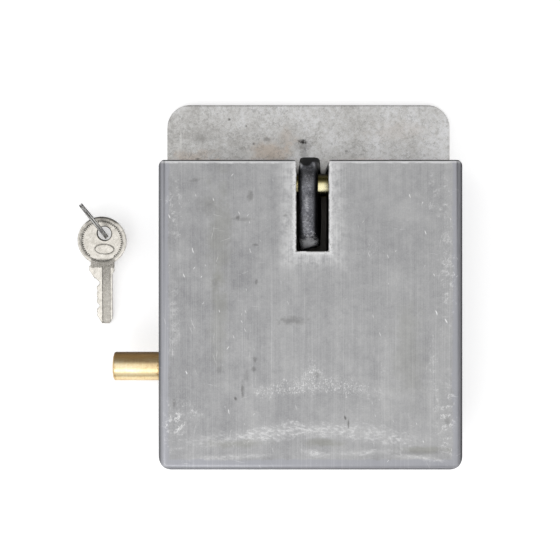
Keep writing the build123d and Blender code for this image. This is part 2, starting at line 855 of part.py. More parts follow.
nodes = {
    "back_plate": make_back_plate(),
    "front_cover": make_front_cover(),
    "cover_blocks": make_cover_blocks(),
    "cover_screws": screw_group(cover_screw_places()),
    "slot_liner": make_slot_liner(),
    "left_bolt_guide": make_left_guide(),
    "right_bolt_guide": make_right_guide(),
    "guide_screws": screw_group(guide_screw_places(left_guide) + guide_screw_places(right_guide)),
    "link": make_link(),
    "bolt": make_bolt(),
    "bolt_nut": make_bolt_nut(),
    "carriage": make_carriage(),
    "follower_pin": make_follower_pin(),
    "guide_studs": make_guide_studs(),
    "stud_washers": make_stud_washers(),
    "stud_screws": make_stud_screws(),
    "barrel": make_barrel(),
    "barrel_clamp": make_barrel_clamp(),
    "clamp_screws": screw_group(clamp_screw_places()),
    "grub_screw": make_grub_screw(),
    "plug": make_plug(),
    "wafers": make_wafers(),
    "wafer_springs": make_wafer_springs(),
    "plug_circlip": make_plug_circlip(),
    "drum": make_drum(),
    "drum_bearing": make_drum_bearing(),
    "bearing_screws": screw_group(bearing_screw_places()),
    "key": make_key(),
    "key_ring": make_key_ring(),
}

os.makedirs("parts", exist_ok=True)
for name, shape in nodes.items():
    export_step(shape, f"parts/{name}.step")

print(f"bolt travel {bolt_travel:.2f} mm for one turn of the key")
print(f"key tilt {key_tilt:.2f} degrees")
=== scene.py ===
"""Studio scene of a box lock for a gate: steel plate and cover, brass bolt, steel link and key.

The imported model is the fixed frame. Sizes in the classes are in millimetres, as in the part's
own source, and turn into Blender's metres where a mesh is finished. Materials read Object
coordinates, scaled to millimetres, so a pattern's size is a real size too.
"""

import logging
from dataclasses import dataclass, field, replace
from enum import Enum
from functools import reduce
from math import asin, cos, pi, radians, sin, tan
from typing import Callable, Sequence, Union

import bmesh
import bpy
from mathutils import Euler, Matrix, Vector, noise


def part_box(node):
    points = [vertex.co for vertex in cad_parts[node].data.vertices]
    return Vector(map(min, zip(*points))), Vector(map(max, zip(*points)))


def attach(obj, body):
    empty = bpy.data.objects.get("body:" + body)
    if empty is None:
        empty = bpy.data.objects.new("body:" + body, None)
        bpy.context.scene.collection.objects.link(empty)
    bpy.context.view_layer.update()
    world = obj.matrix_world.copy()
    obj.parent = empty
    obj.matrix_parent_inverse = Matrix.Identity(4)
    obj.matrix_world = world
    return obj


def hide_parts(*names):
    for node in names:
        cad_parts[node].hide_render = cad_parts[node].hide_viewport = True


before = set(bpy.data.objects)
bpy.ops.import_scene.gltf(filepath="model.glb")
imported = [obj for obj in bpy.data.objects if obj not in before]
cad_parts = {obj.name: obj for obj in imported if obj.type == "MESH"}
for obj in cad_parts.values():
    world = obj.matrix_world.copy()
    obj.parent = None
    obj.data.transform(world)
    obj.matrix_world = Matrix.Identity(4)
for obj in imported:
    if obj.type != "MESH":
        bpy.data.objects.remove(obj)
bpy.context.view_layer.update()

MM = 0.001
PER_METRE = 1000.0
FAR = 1000.0
MERGE_DISTANCE = 0.0005

log = logging.getLogger("gate_lock")

Colour = tuple[float, float, float]
Pair = tuple[float, float]
Operand = Union["Signal", float, int]
Value = Union["Signal", float, int, str, Sequence[float]]
Mask = Callable[["Graph", "Signal"], "Signal"]


class Body(str, Enum):
    """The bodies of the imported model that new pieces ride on."""

    LINK = "link"
    KEY = "key"


class Slot(str, Enum):
    """Names of the record's material slots for the new pieces."""

    LINK_STEEL = "link_steel"
    KEY_NICKEL = "key_nickel"


def display(red: float, green: float, blue: float) -> Colour:
    """Turn a colour as it looks on a screen, 0 to 255, into the shader's linear values.

    Args:
        red: Red on the screen.
        green: Green on the screen.
        blue: Blue on the screen.

    Returns:
        The linear red, green and blue.
    """
    knee, low_slope, offset, power = 0.04045, 12.92, 0.055, 2.4
    values = [value / 255 for value in (red, green, blue)]
    linear = [v / low_slope if v <= knee else ((v + offset) / (1 + offset)) ** power for v in values]
    return linear[0], linear[1], linear[2]


def operator(operation: str, swapped: bool = False) -> Callable[..., "Signal"]:
    """Return a method of Signal that makes one Math node.

    Args:
        operation: Blender's name of the operation.
        swapped: True puts the other operand first.

    Returns:
        The method.
    """

    def method(self: "Signal", other: Operand = 0.0) -> "Signal":
        """Join self and another operand."""
        first, second = (other, self) if swapped else (self, other)
        return self.graph.node("ShaderNodeMath", {"operation": operation}, {0: first, 1: second})

    return method


class Signal:
    """One output socket of a shader node, on which Python's operators make Math nodes."""

    __add__ = operator("ADD")
    __radd__ = operator("ADD", swapped=True)
    __sub__ = operator("SUBTRACT")
    __rsub__ = operator("SUBTRACT", swapped=True)
    __mul__ = operator("MULTIPLY")
    __rmul__ = operator("MULTIPLY", swapped=True)
    __truediv__ = operator("DIVIDE")
    __pow__ = operator("POWER")
    __abs__ = operator("ABSOLUTE")
    at_least = operator("MAXIMUM")
    at_most = operator("MINIMUM")

    def __init__(self, graph: "Graph", socket: bpy.types.NodeSocket) -> None:
        """Wrap a socket of a graph."""
        self.graph = graph
        self.socket = socket

    def beside(self, output: int | str) -> "Signal":
        """Return another output of the same node."""
        return Signal(self.graph, self.socket.node.outputs[output])

    def step(self, low: float, high: float) -> "Signal":
        """Rise smoothly from 0 to 1 as self goes from low to high, or fall where low is above high.

        Args:
            low: Value of self at which the result is 0.
            high: Value of self at which the result is 1.

        Returns:
            The smooth step.
        """
        rises = low <= high
        inputs = {0: self, 1: min(low, high), 2: max(low, high), 3: float(not rises), 4: float(rises)}
        return self.graph.node("ShaderNodeMapRange", {"interpolation_type": "SMOOTHSTEP"}, inputs)


@dataclass(frozen=True)
class Stroke:
    """Short thin marks in one direction, each at a random place.

    Attributes:
        angle: Direction of the marks from the Y axis, in degrees.
        scale: Cells in a millimetre, one possible mark in each.
        length: Half length of the longest mark in millimetres.
        width: Half width of a mark in millimetres.
        share: Share of the cells that have a mark.
    """

    angle: float
    scale: float
    length: float
    width: float
    share: float


class Graph:
    """The node tree of one material or world, in which coordinates are in millimetres."""

    def __init__(self, owner: str | bpy.types.World) -> None:
        """Start an empty material of a name, or empty a world.

        Args:
            owner: Name of the new material, or the world.
        """
        self.owner = bpy.data.materials.new(owner) if isinstance(owner, str) else owner
        self.owner.use_nodes = True
        self.tree = self.owner.node_tree
        self.tree.nodes.clear()

    def node(
        self,
        kind: str,
        settings: dict[str, object] | None = None,
        inputs: dict[int | str, Value] | None = None,
        output: int | str = 0,
    ) -> Signal:
        """Add a node, set it up and join its inputs.

        Args:
            kind: Blender's type name of the node.
            settings: Properties of the node, and a ramp's stops as pairs of place and colour.
            inputs: Values or signals of its input sockets, by index or name.
            output: The output socket to return.

        Returns:
            The wanted output as a signal.
        """
        made = self.tree.nodes.new(kind)
        for name, value in (settings or {}).items():
            if name == "stops":
                self._set_stops(made.color_ramp, value)
            else:
                setattr(made, name, value)
        for name, value in (inputs or {}).items():
            if isinstance(value, Signal):
                self.tree.links.new(value.socket, made.inputs[name])
            else:
                made.inputs[name].default_value = value
        return Signal(self, made.outputs[output])

    @staticmethod
    def _set_stops(ramp: bpy.types.ColorRamp, stops: Sequence[tuple[float, Colour]]) -> None:
        """Give a colour ramp its stops.

        Args:
            ramp: The ramp.
            stops: Pairs of place and colour.
        """
        while len(ramp.elements) < len(stops):
            ramp.elements.new(1.0)
        for element, (place, colour) in zip(ramp.elements, stops):
            element.position = place
            element.color = (*colour, 1.0)

    def millimetres(self) -> Signal:
        """Return the point on the piece in millimetres."""
        point = self.node("ShaderNodeTexCoord", output="Object")
        return self.scaled(point, (PER_METRE, PER_METRE, PER_METRE))

    def scaled(self, vector: Signal, factors: Sequence[float]) -> Signal:
        """Return a vector with each part times its own factor."""
        return self.node("ShaderNodeVectorMath", {"operation": "MULTIPLY"}, {0: vector, 1: tuple(factors)})

    def turned(self, vector: Signal, angle: float) -> Signal:
        """Return a vector turned about Z by an angle in degrees."""
        return self.node("ShaderNodeMapping", None, {0: vector, 2: (0.0, 0.0, radians(angle))})

    def parts(self, vector: Signal) -> tuple[Signal, Signal, Signal]:
        """Return the X, Y and Z of a vector."""
        x = self.node("ShaderNodeSeparateXYZ", None, {0: vector})
        return x, x.beside(1), x.beside(2)

    def noise(self, vector: Signal, scale: float, detail: float = 2.0, rough: float = 0.5) -> Signal:
        """Return soft noise about 0.5.

        Args:
            vector: The point that it is read at.
            scale: How many cells fit in one unit of the vector.
            detail: How many finer layers are added.
            rough: How strong the finer layers are.

        Returns:
            The noise value.
        """
        return self.node("ShaderNodeTexNoise", None, {0: vector, 2: scale, 3: detail, 4: rough})

    def spots(self, vector: Signal, scale: float, size: float, share: float) -> Signal:
        """Return small round spots at random places.

        Args:
            vector: The point that they are read at.
            scale: How many cells, one possible spot in each, fit in one unit.
            size: Radius of the largest spot as a share of a cell.
            share: Share of the cells that have a spot.

        Returns:
            1 inside a spot, 0 outside.
        """
        cell = self.node("ShaderNodeTexVoronoi", None, {"Vector": vector, "Scale": scale}, "Distance")
        chance, width, _ = self.parts(cell.beside("Color"))
        radius = (width * 0.7 + 0.3) * size
        inside = (cell / radius).step(1.0, 0.6)
        return inside * chance.step(share + 0.01, share)

    def streaks(self, vector: Signal, angle: float, across: float, along: float, rarity: float) -> Signal:
        """Return thin straight scratches in one direction.

        Args:
            vector: The point in millimetres.
            angle: Direction of the scratches from the Y axis, in degrees.
            across: Cells in a millimetre across a scratch.
            along: Cells in a millimetre along a scratch.
            rarity: Noise value above which a scratch shows, from 0.6 for many to 0.8 for few.

        Returns:
            1 on a scratch, 0 beside it.
        """
        field_point = self.scaled(self.turned(vector, angle), (across, along, along))
        return self.noise(field_point, 1.0, 0.0).step(rarity, rarity + 0.05)

    def strokes(self, vector: Signal, *kinds: Stroke) -> Signal:
        """Return short thin marks of one or more kinds.

        Args:
            vector: The point in millimetres.
            *kinds: The kinds of marks.

        Returns:
            1 on a mark, 0 beside it.
        """
        made = []
        for kind in kinds:
            bent = self.noise(vector, 0.2, 1.0) - 0.5
            x, y, z = self.parts(self.turned(vector, kind.angle))
            thin = {0: (x + bent * 1.5) * (kind.length / kind.width), 1: y, 2: z}
            cells = {"Vector": self.node("ShaderNodeCombineXYZ", None, thin), "Scale": kind.scale}
            distance = self.node("ShaderNodeTexVoronoi", None, cells, "Distance")
            chance, reach, _ = self.parts(distance.beside("Color"))
            radius = (reach * 0.75 + 0.25) * (kind.length * kind.scale)
            inside = (distance / radius).step(1.0, 0.5)
            made.append(inside * chance.step(kind.share + 0.005, kind.share))
        return reduce(Signal.at_least, made)

    def veins(self, vector: Signal, scale: float, width: float) -> Signal:
        """Return thin wavy lines between random cells, broken in places.

        Args:
            vector: The point that they are read at.
            scale: How many cells fit in one unit.
            width: Half width of a line as a share of a cell.

        Returns:
            1 on a line, 0 beside it.
        """
        bend = self.node("ShaderNodeTexNoise", None, {0: vector, 2: scale * 3.0}, 1)
        sway = {0: bend, 1: (1.4 / scale,) * 3, 2: vector}
        bent = self.node("ShaderNodeVectorMath", {"operation": "MULTIPLY_ADD"}, sway)
        settings = {"feature": "DISTANCE_TO_EDGE"}
        edge = self.node("ShaderNodeTexVoronoi", settings, {"Vector": bent, "Scale": scale}, "Distance")
        return edge.step(width, width * 0.3) * self.noise(vector, scale * 0.8, 1.0).step(0.48, 0.6)

    def closed_in(self, reach: float, inside: bool = False) -> Signal:
        """Return how much the surfaces near a point close it in.

        Args:
            reach: How far it looks, in millimetres.
            inside: True looks into the solid and finds its edges, False looks out and finds creases.

        Returns:
            0 on an open face, toward 1 beside an edge or in a crease.
        """
        settings = {"inside": inside, "only_local": inside, "samples": 8}
        return 1.0 - self.node("ShaderNodeAmbientOcclusion", settings, {"Distance": reach * MM}, "AO")

    def mix(self, factor: Value, first: Value, second: Value) -> Signal:
        """Return a colour between two, first at factor 0 and second at factor 1.

        Args:
            factor: 0 for the first colour, 1 for the second.
            first: The first colour.
            second: The second colour.

        Returns:
            The mixed colour.
        """
        sides = [
            side if isinstance(side, Signal) else (*side, 1.0)
            for side in (first, second)
        ]
        return self.node(
            "ShaderNodeMix",
            {"data_type": "RGBA", "clamp_factor": True},
            {0: factor, 6: sides[0], 7: sides[1]},
            2,
        )

    def ramp(self, factor: Signal, stops: Sequence[tuple[float, Colour]]) -> Signal:
        """Return the colour of a ramp at a factor."""
        return self.node("ShaderNodeValToRGB", {"stops": stops}, {0: factor})

    def bump(self, height: Signal, depth: float, normal: Signal | None = None) -> Signal:
        """Return the normal of a surface with a height pattern.

        Args:
            height: Pattern from 0 to 1.
            depth: Height in millimetres of the value 1.
            normal: Normal under this pattern, where there is one.

        Returns:
            The changed normal.
        """
        inputs: dict[int | str, Value] = {"Height": height, "Distance": depth * MM, "Strength": 1.0}
        if normal is not None:
            inputs["Normal"] = normal
        return self.node("ShaderNodeBump", None, inputs)

    def surface(self, **sockets: Value) -> bpy.types.Material:
        """Finish the material with one Principled shader.

        Args:
            **sockets: Its inputs, with underscores for the spaces in their names.

        Returns:
            The material.
        """
        named = {name.replace("_", " ").title().replace("Ior", "IOR"): v for name, v in sockets.items()}
        if "Base Color" in named and not isinstance(named["Base Color"], Signal):
            named["Base Color"] = (*named["Base Color"], 1.0)
        shader = self.node("ShaderNodeBsdfPrincipled", None, named)
        self.finish(shader, "ShaderNodeOutputMaterial")
        return self.owner

    def finish(self, shader: Signal, kind: str) -> None:
        """Join a shader to an output node of a kind."""
        output = self.tree.nodes.new(kind)
        self.tree.links.new(shader.socket, output.inputs["Surface"])


@dataclass(frozen=True)
class Mark:
    """A soft oval mark on the front, in millimetres and degrees."""

    x: float
    y: float
    half_width: float
    half_height: float
    strength: float
    turn: float = 0.0


def marked(graph: Graph, point: Signal, marks: Sequence[Mark], ragged: Signal) -> Signal:
    """Add up the strengths of oval marks.

    Args:
        graph: The material's graph.
        point: The point in millimetres.
        marks: The marks.
        ragged: Noise about 0.5 that breaks up their outlines.

    Returns:
        The strength at the point.
    """
    fray = (ragged - 0.5) * 2.6
    total: Operand = 0.0
    for mark in marks:
        place = (mark.x, mark.y, 0.0)
        spread = (mark.half_width, mark.half_height, FAR)
        inputs = {0: point, 1: place, 2: (0.0, 0.0, radians(mark.turn)), 3: spread}
        local = graph.node("ShaderNodeMapping", {"vector_type": "TEXTURE"}, inputs)
        length = graph.node("ShaderNodeVectorMath", {"operation": "LENGTH"}, {0: local}, 1)
        total = (length + fray).step(1.15, 0.2) * mark.strength + total
    return total


@dataclass(frozen=True)
class CoverSteel:
    """Matt drawn sheet steel with scuffs and nicks, a painted highlight along its slot and under its top
    edge, and painted shade on its bends.
    """

    dark: Colour = display(150, 150, 152)
    middle: Colour = display(172, 172, 173)
    light: Colour = display(190, 190, 190)
    cool: Colour = display(164, 165, 172)
    # Also the colour of the painted highlight along the slot and under the top edge.
    rubbed: Colour = display(240, 240, 240)
    stain: Colour = display(92, 91, 88)
    olive: Colour = display(150, 150, 143)
    # Painted shade: the grey of the darkened bends and of the dark line under the top edge.
    painted_bend_grey: Colour = display(52, 52, 55)
    stains: tuple[Mark, ...] = (
        Mark(-29.6, 58.4, 1.9, 3.0, 0.5), Mark(-36.0, 47.9, 1.5, 1.1, 0.5),
        Mark(-56.4, 66.2, 3.6, 1.2, 0.4, 14.0), Mark(-51.0, 54.0, 6.0, 5.5, 0.22),
        Mark(-12.4, 48.9, 1.4, 0.9, 0.45), Mark(-27.2, 34.4, 1.8, 0.8, 0.5), Mark(-33.4, 47.0, 7.0, 1.2, 0.3),
        Mark(-26.8, 16.5, 0.9, 1.6, 0.5), Mark(-47.0, 15.6, 2.6, 3.4, 0.25),
        Mark(-36.9, -40.8, 0.9, 1.2, 0.85, 20.0), Mark(17.0, -50.4, 0.6, 1.6, 0.9, 12.0),
        Mark(-27.2, -22.0, 1.6, 1.5, 0.5), Mark(-31.5, -30.0, 1.2, 4.0, 0.25),
        Mark(-9.0, -2.7, 8.6, 2.4, 0.45), Mark(3.2, -29.5, 1.6, 2.0, 0.4), Mark(67.0, -51.5, 1.5, 4.2, 0.35),
        Mark(-67.0, -43.0, 1.1, 3.0, 0.4), Mark(-45.0, -27.0, 2.0, 2.6, 0.3),
        Mark(-33.5, -36.5, 0.9, 4.6, 0.55), Mark(-28.0, -26.5, 1.5, 1.4, 0.45),
        Mark(53.0, -67.6, 15.0, 1.3, 0.28, 1.0), Mark(18.5, -53.2, 0.5, 2.6, 0.7),
    )
    soil: tuple[Mark, ...] = (
        Mark(-45.0, 40.0, 7.0, 34.0, 0.5), Mark(6.0, -62.5, 11.0, 2.6, 0.75),
        Mark(-36.0, -63.0, 20.0, 2.4, 0.6, 2.0), Mark(54.0, -66.0, 16.0, 2.0, 0.7),
        Mark(-45.0, -4.0, 5.0, 30.0, 0.4), Mark(48.0, -18.0, 9.0, 30.0, 0.35),
    )
    chalk: tuple[Mark, ...] = (
        Mark(0.5, -24.0, 3.4, 6.0, 0.35), Mark(0.6, -29.5, 6.0, 6.0, 1.0), Mark(1.0, -34.0, 16.0, 6.0, 1.2),
        Mark(-14.0, -36.0, 19.0, 4.6, 1.0, 8.0), Mark(19.0, -35.5, 19.0, 4.8, 1.0, -9.0),
        Mark(60.0, -25.0, 2.4, 16.0, 0.6), Mark(36.0, -24.0, 2.4, 14.0, 0.35, -8.0),
        Mark(-60.0, -47.0, 6.0, 11.0, 0.35), Mark(-66.0, 45.0, 1.6, 14.0, 0.4),
        Mark(66.5, 42.0, 1.8, 22.0, 0.45), Mark(30.0, 33.0, 8.0, 5.0, 0.35),
    )
    smears: tuple[Mark, ...] = (
        Mark(-45.0, -61.0, 24.0, 4.2, 0.55, 8.0), Mark(-20.0, -58.0, 18.0, 5.0, 1.0, 10.0),
        Mark(4.0, -56.5, 19.0, 4.4, 1.0, -3.0), Mark(30.0, -58.5, 18.0, 5.0, 0.75, -8.0),
        Mark(50.0, -61.0, 14.0, 4.0, 0.4), Mark(3.0, -68.0, 8.0, 1.9, 1.0, -12.0),
        Mark(26.0, -67.4, 18.0, 1.6, 0.8, 3.0), Mark(54.0, -70.0, 14.0, 1.5, 0.9, -6.0),
        Mark(-40.0, -69.6, 26.0, 1.5, 0.6, 3.0),
    )
    scuffs: tuple[Mark, ...] = (
        Mark(-67.0, -52.0, 6.0, 15.0, 0.85), Mark(-56.0, -46.0, 6.0, 4.0, 0.6, 20.0),
        Mark(66.0, -50.0, 6.0, 22.0, 0.7), Mark(67.0, 22.0, 5.0, 34.0, 0.5),
        Mark(62.0, 60.0, 9.0, 11.0, 0.45), Mark(-67.0, 50.0, 5.0, 20.0, 0.45),
        Mark(-67.0, -5.0, 4.0, 26.0, 0.3),
    )
    scratches: tuple[Stroke, ...] = (
        Stroke(8.0, 0.085, 5.5, 0.2, 0.016), Stroke(-24.0, 0.1, 4.0, 0.18, 0.012),
        Stroke(68.0, 0.09, 4.0, 0.18, 0.01), Stroke(-83.0, 0.11, 4.0, 0.18, 0.016),
    )
    nicks: tuple[Stroke, ...] = (Stroke(-20.0, 0.2, 1.7, 0.36, 0.05), Stroke(35.0, 0.17, 1.5, 0.34, 0.05))

    def make(self, box: "CoverBox") -> bpy.types.Material:
        """Build the material.

        Args:
            box: Sizes of the cover, for the rubbed bands along its edges.

        Returns:
            The material.
        """
        graph = Graph("cover_steel")
        point = graph.millimetres()
        x, y, z = graph.parts(point)
        lines = graph.noise(graph.scaled(point, (2.2, 0.02, 2.2)), 1.0, 3.0, 0.65)
        mottle = graph.noise(point, 0.3, 4.0, 0.65)
        grain = graph.noise(point, 1.6, 3.0, 0.65)
        speckle = graph.noise(point, 1.9, 2.0, 0.75)
        colour = self._sheet(graph, point, (lines, mottle, grain))
        bare = box.bare_steel(x, y, mottle)
        colour = graph.mix(bare * 0.75, colour, self.cool)

        smear = self._smeared(graph, point, speckle)
        chalk = self._chalked(graph, point, mottle, speckle)
        pale = (smear * 0.75).at_least(chalk).at_least(self._scuffed(graph, point) * 0.9)
        colour = graph.mix(pale, colour, self.rubbed)
        drawn = graph.streaks(point, 0.5, 3.0, 0.012, 0.68) * (y - 10.0).step(30.0, -20.0)
        colour = graph.mix(drawn * 0.12, colour, self.rubbed)
        sides = abs(x).step(12.0, 55.0) * 0.75 + 0.25
        scratch = graph.strokes(point, *self.scratches)
        worn = (scratch * 0.45).at_least(graph.strokes(point, *self.nicks) * 0.95) * sides
        colour = graph.mix(worn * graph.noise(point, 0.6, 2.0).step(0.3, 0.5), colour, self.rubbed)

        front = z.step(box.front - 2.0, box.front - 0.3)
        border = box.slot_distance(x, y)
        flake = graph.noise(point, 0.7, 4.0, 0.75)
        drop = box.top - y
        # Painted highlight: a pale band along the slot's edge and a pale line just under the top edge.
        painted_slot_highlight = (border + (flake - 0.5) * 5.0).step(3.0, 0.6) * 0.8
        painted_slot_highlight = painted_slot_highlight.at_least(border.step(12.0, 0.0) * (mottle * 0.7 + lines * 0.3).step(0.3, 0.65) * 0.6)
        painted_top_highlight = (drop + (mottle - 0.5) * 2.0).step(2.2, 0.9) * drop.step(0.5, 0.9)
        colour = graph.mix(painted_slot_highlight.at_least(painted_top_highlight * 0.75) * front, colour, self.rubbed)
        chips = flake.step(0.6, 0.68) * border.step(2.2, 1.0)
        stains = marked(graph, point, self.stains, graph.noise(point, 0.55, 4.0, 0.8))
        pits = graph.spots(point, 0.24, 0.09, 0.1).at_least(graph.spots(point, 0.5, 0.12, 0.02))
        rim = border.step(0.6, 0.1) * mottle.step(0.4, 0.55) * front
        dirt = stains.at_least(pits * 0.75).at_least(chips * 0.8).at_least(rim)
        colour = graph.mix(dirt * (grain * 0.8 + 0.35), colour, self.stain)
        # Painted shade: the bends darken as they turn away from the front, and a dark line runs under the top
        # edge.
        edge = self._painted_bend_shade(x, drop, box.front - z)
        colour = graph.mix(edge, colour, self.painted_bend_grey)

        rough = 0.44 + (mottle - 0.5) * 0.2 + stains * 0.15 + smear * 0.1 - bare * 0.08 + edge * 0.35
        height = lines * 0.3 + grain * 0.35 + speckle * 0.15 - dirt * 0.6 - worn * 0.4
        return graph.surface(
            base_color=colour,
            metallic=0.8 - edge * 0.8,
            roughness=rough,
            specular_ior_level=0.25,
            normal=graph.bump(height, 0.012),
        )

    def _sheet(self, graph: Graph, point: Signal, noises: tuple[Signal, Signal, Signal]) -> Signal:
        """Return the colour of the clean sheet, with drawn lines and soiled places.

        Args:
            graph: The material's graph.
            point: The point in millimetres.
            noises: The noise of the drawn lines, the mottling and the grain.

        Returns:
            The colour.
        """
        lines, mottle, grain = noises
        x, _, _ = graph.parts(point)
        broad = graph.noise(graph.scaled(point, (0.2, 0.016, 0.2)), 1.0, 3.0, 0.5)
        cloud = graph.noise(point, 0.045, 5.0, 0.6)
        tone = lines * 0.2 + broad * 0.1 + cloud * 0.26 + mottle * 0.24 + grain * 0.2 + x * 0.0004
        colour = graph.ramp(tone, [(0.39, self.dark), (0.5, self.middle), (0.61, self.light)])
        ragged = graph.noise(point, 0.14, 5.0, 0.7)
        return graph.mix(marked(graph, point, self.soil, ragged) * 0.8, colour, self.olive)

    def _chalked(self, graph: Graph, point: Signal, mottle: Signal, speckle: Signal) -> Signal:
        """Return the strength of the fine chalky dots.

        Args:
            graph: The material's graph.
            point: The point in millimetres.
            mottle: Noise of the mottling.
            speckle: Fine noise.

        Returns:
            The strength, 0 to 1.
        """
        chalk = marked(graph, point, self.chalk, graph.noise(point, 0.25, 3.0, 0.7)).at_most(1.0)
        dots = graph.spots(graph.scaled(point, (1.5, 0.9, 1.5)), 1.0, 0.6, 0.85)
        return chalk * (dots * 0.5 + speckle.step(0.46, 0.64) * 0.35) * (mottle.step(0.36, 0.6) * 0.5 + 0.5)

    def _smeared(self, graph: Graph, point: Signal, speckle: Signal) -> Signal:
        """Return the strength of the cloudy pale band near the bottom.

        Args:
            graph: The material's graph.
            point: The point in millimetres.
            speckle: Fine noise.

        Returns:
            The strength, 0 to 1.
        """
        wisp = graph.noise(graph.scaled(graph.turned(point, 8.0), (0.4, 0.85, 0.85)), 1.0, 5.0, 0.78)
        smear = marked(graph, point, self.smears, graph.noise(point, 0.3, 4.0, 0.7)).at_most(1.0)
        return smear * (wisp.step(0.42, 0.64) * 0.7 + speckle.step(0.58, 0.7) * 0.2 + 0.2)

    def _scuffed(self, graph: Graph, point: Signal) -> Signal:
        """Return the strength of the scribbled scuffs near the sides.

        Args:
            graph: The material's graph.
            point: The point in millimetres.

        Returns:
            The strength, 0 to 1.
        """
        scuff = marked(graph, point, self.scuffs, graph.noise(point, 0.4, 3.0, 0.7)).at_most(1.0)
        flecks = graph.noise(point, 1.2, 4.0, 0.8).step(0.58, 0.66)
        return scuff * graph.veins(point, 0.38, 0.12).at_least(flecks * 0.8)

    @staticmethod
    def _painted_bend_shade(x: Signal, drop: Signal, fall: Signal) -> Signal:
        """Return the strength of the painted shade on the bends, darker toward the right side, and under the
        top edge.

        Args:
            x: Place across the cover.
            drop: Distance below the cover's top edge.
            fall: Depth under the cover's front.

        Returns:
            The strength.
        """
        reach = fall.step(7.0, 3.5) * 0.75 + 0.2
        # Painted shade, darker toward the right side.
        edge = fall.step(0.25, 1.7) * reach * (x.step(-60.0, 60.0) * 0.25 + 0.75)
        return edge.at_least(drop.step(0.8, 0.4) * fall.step(1.8, 1.0) * 0.9)


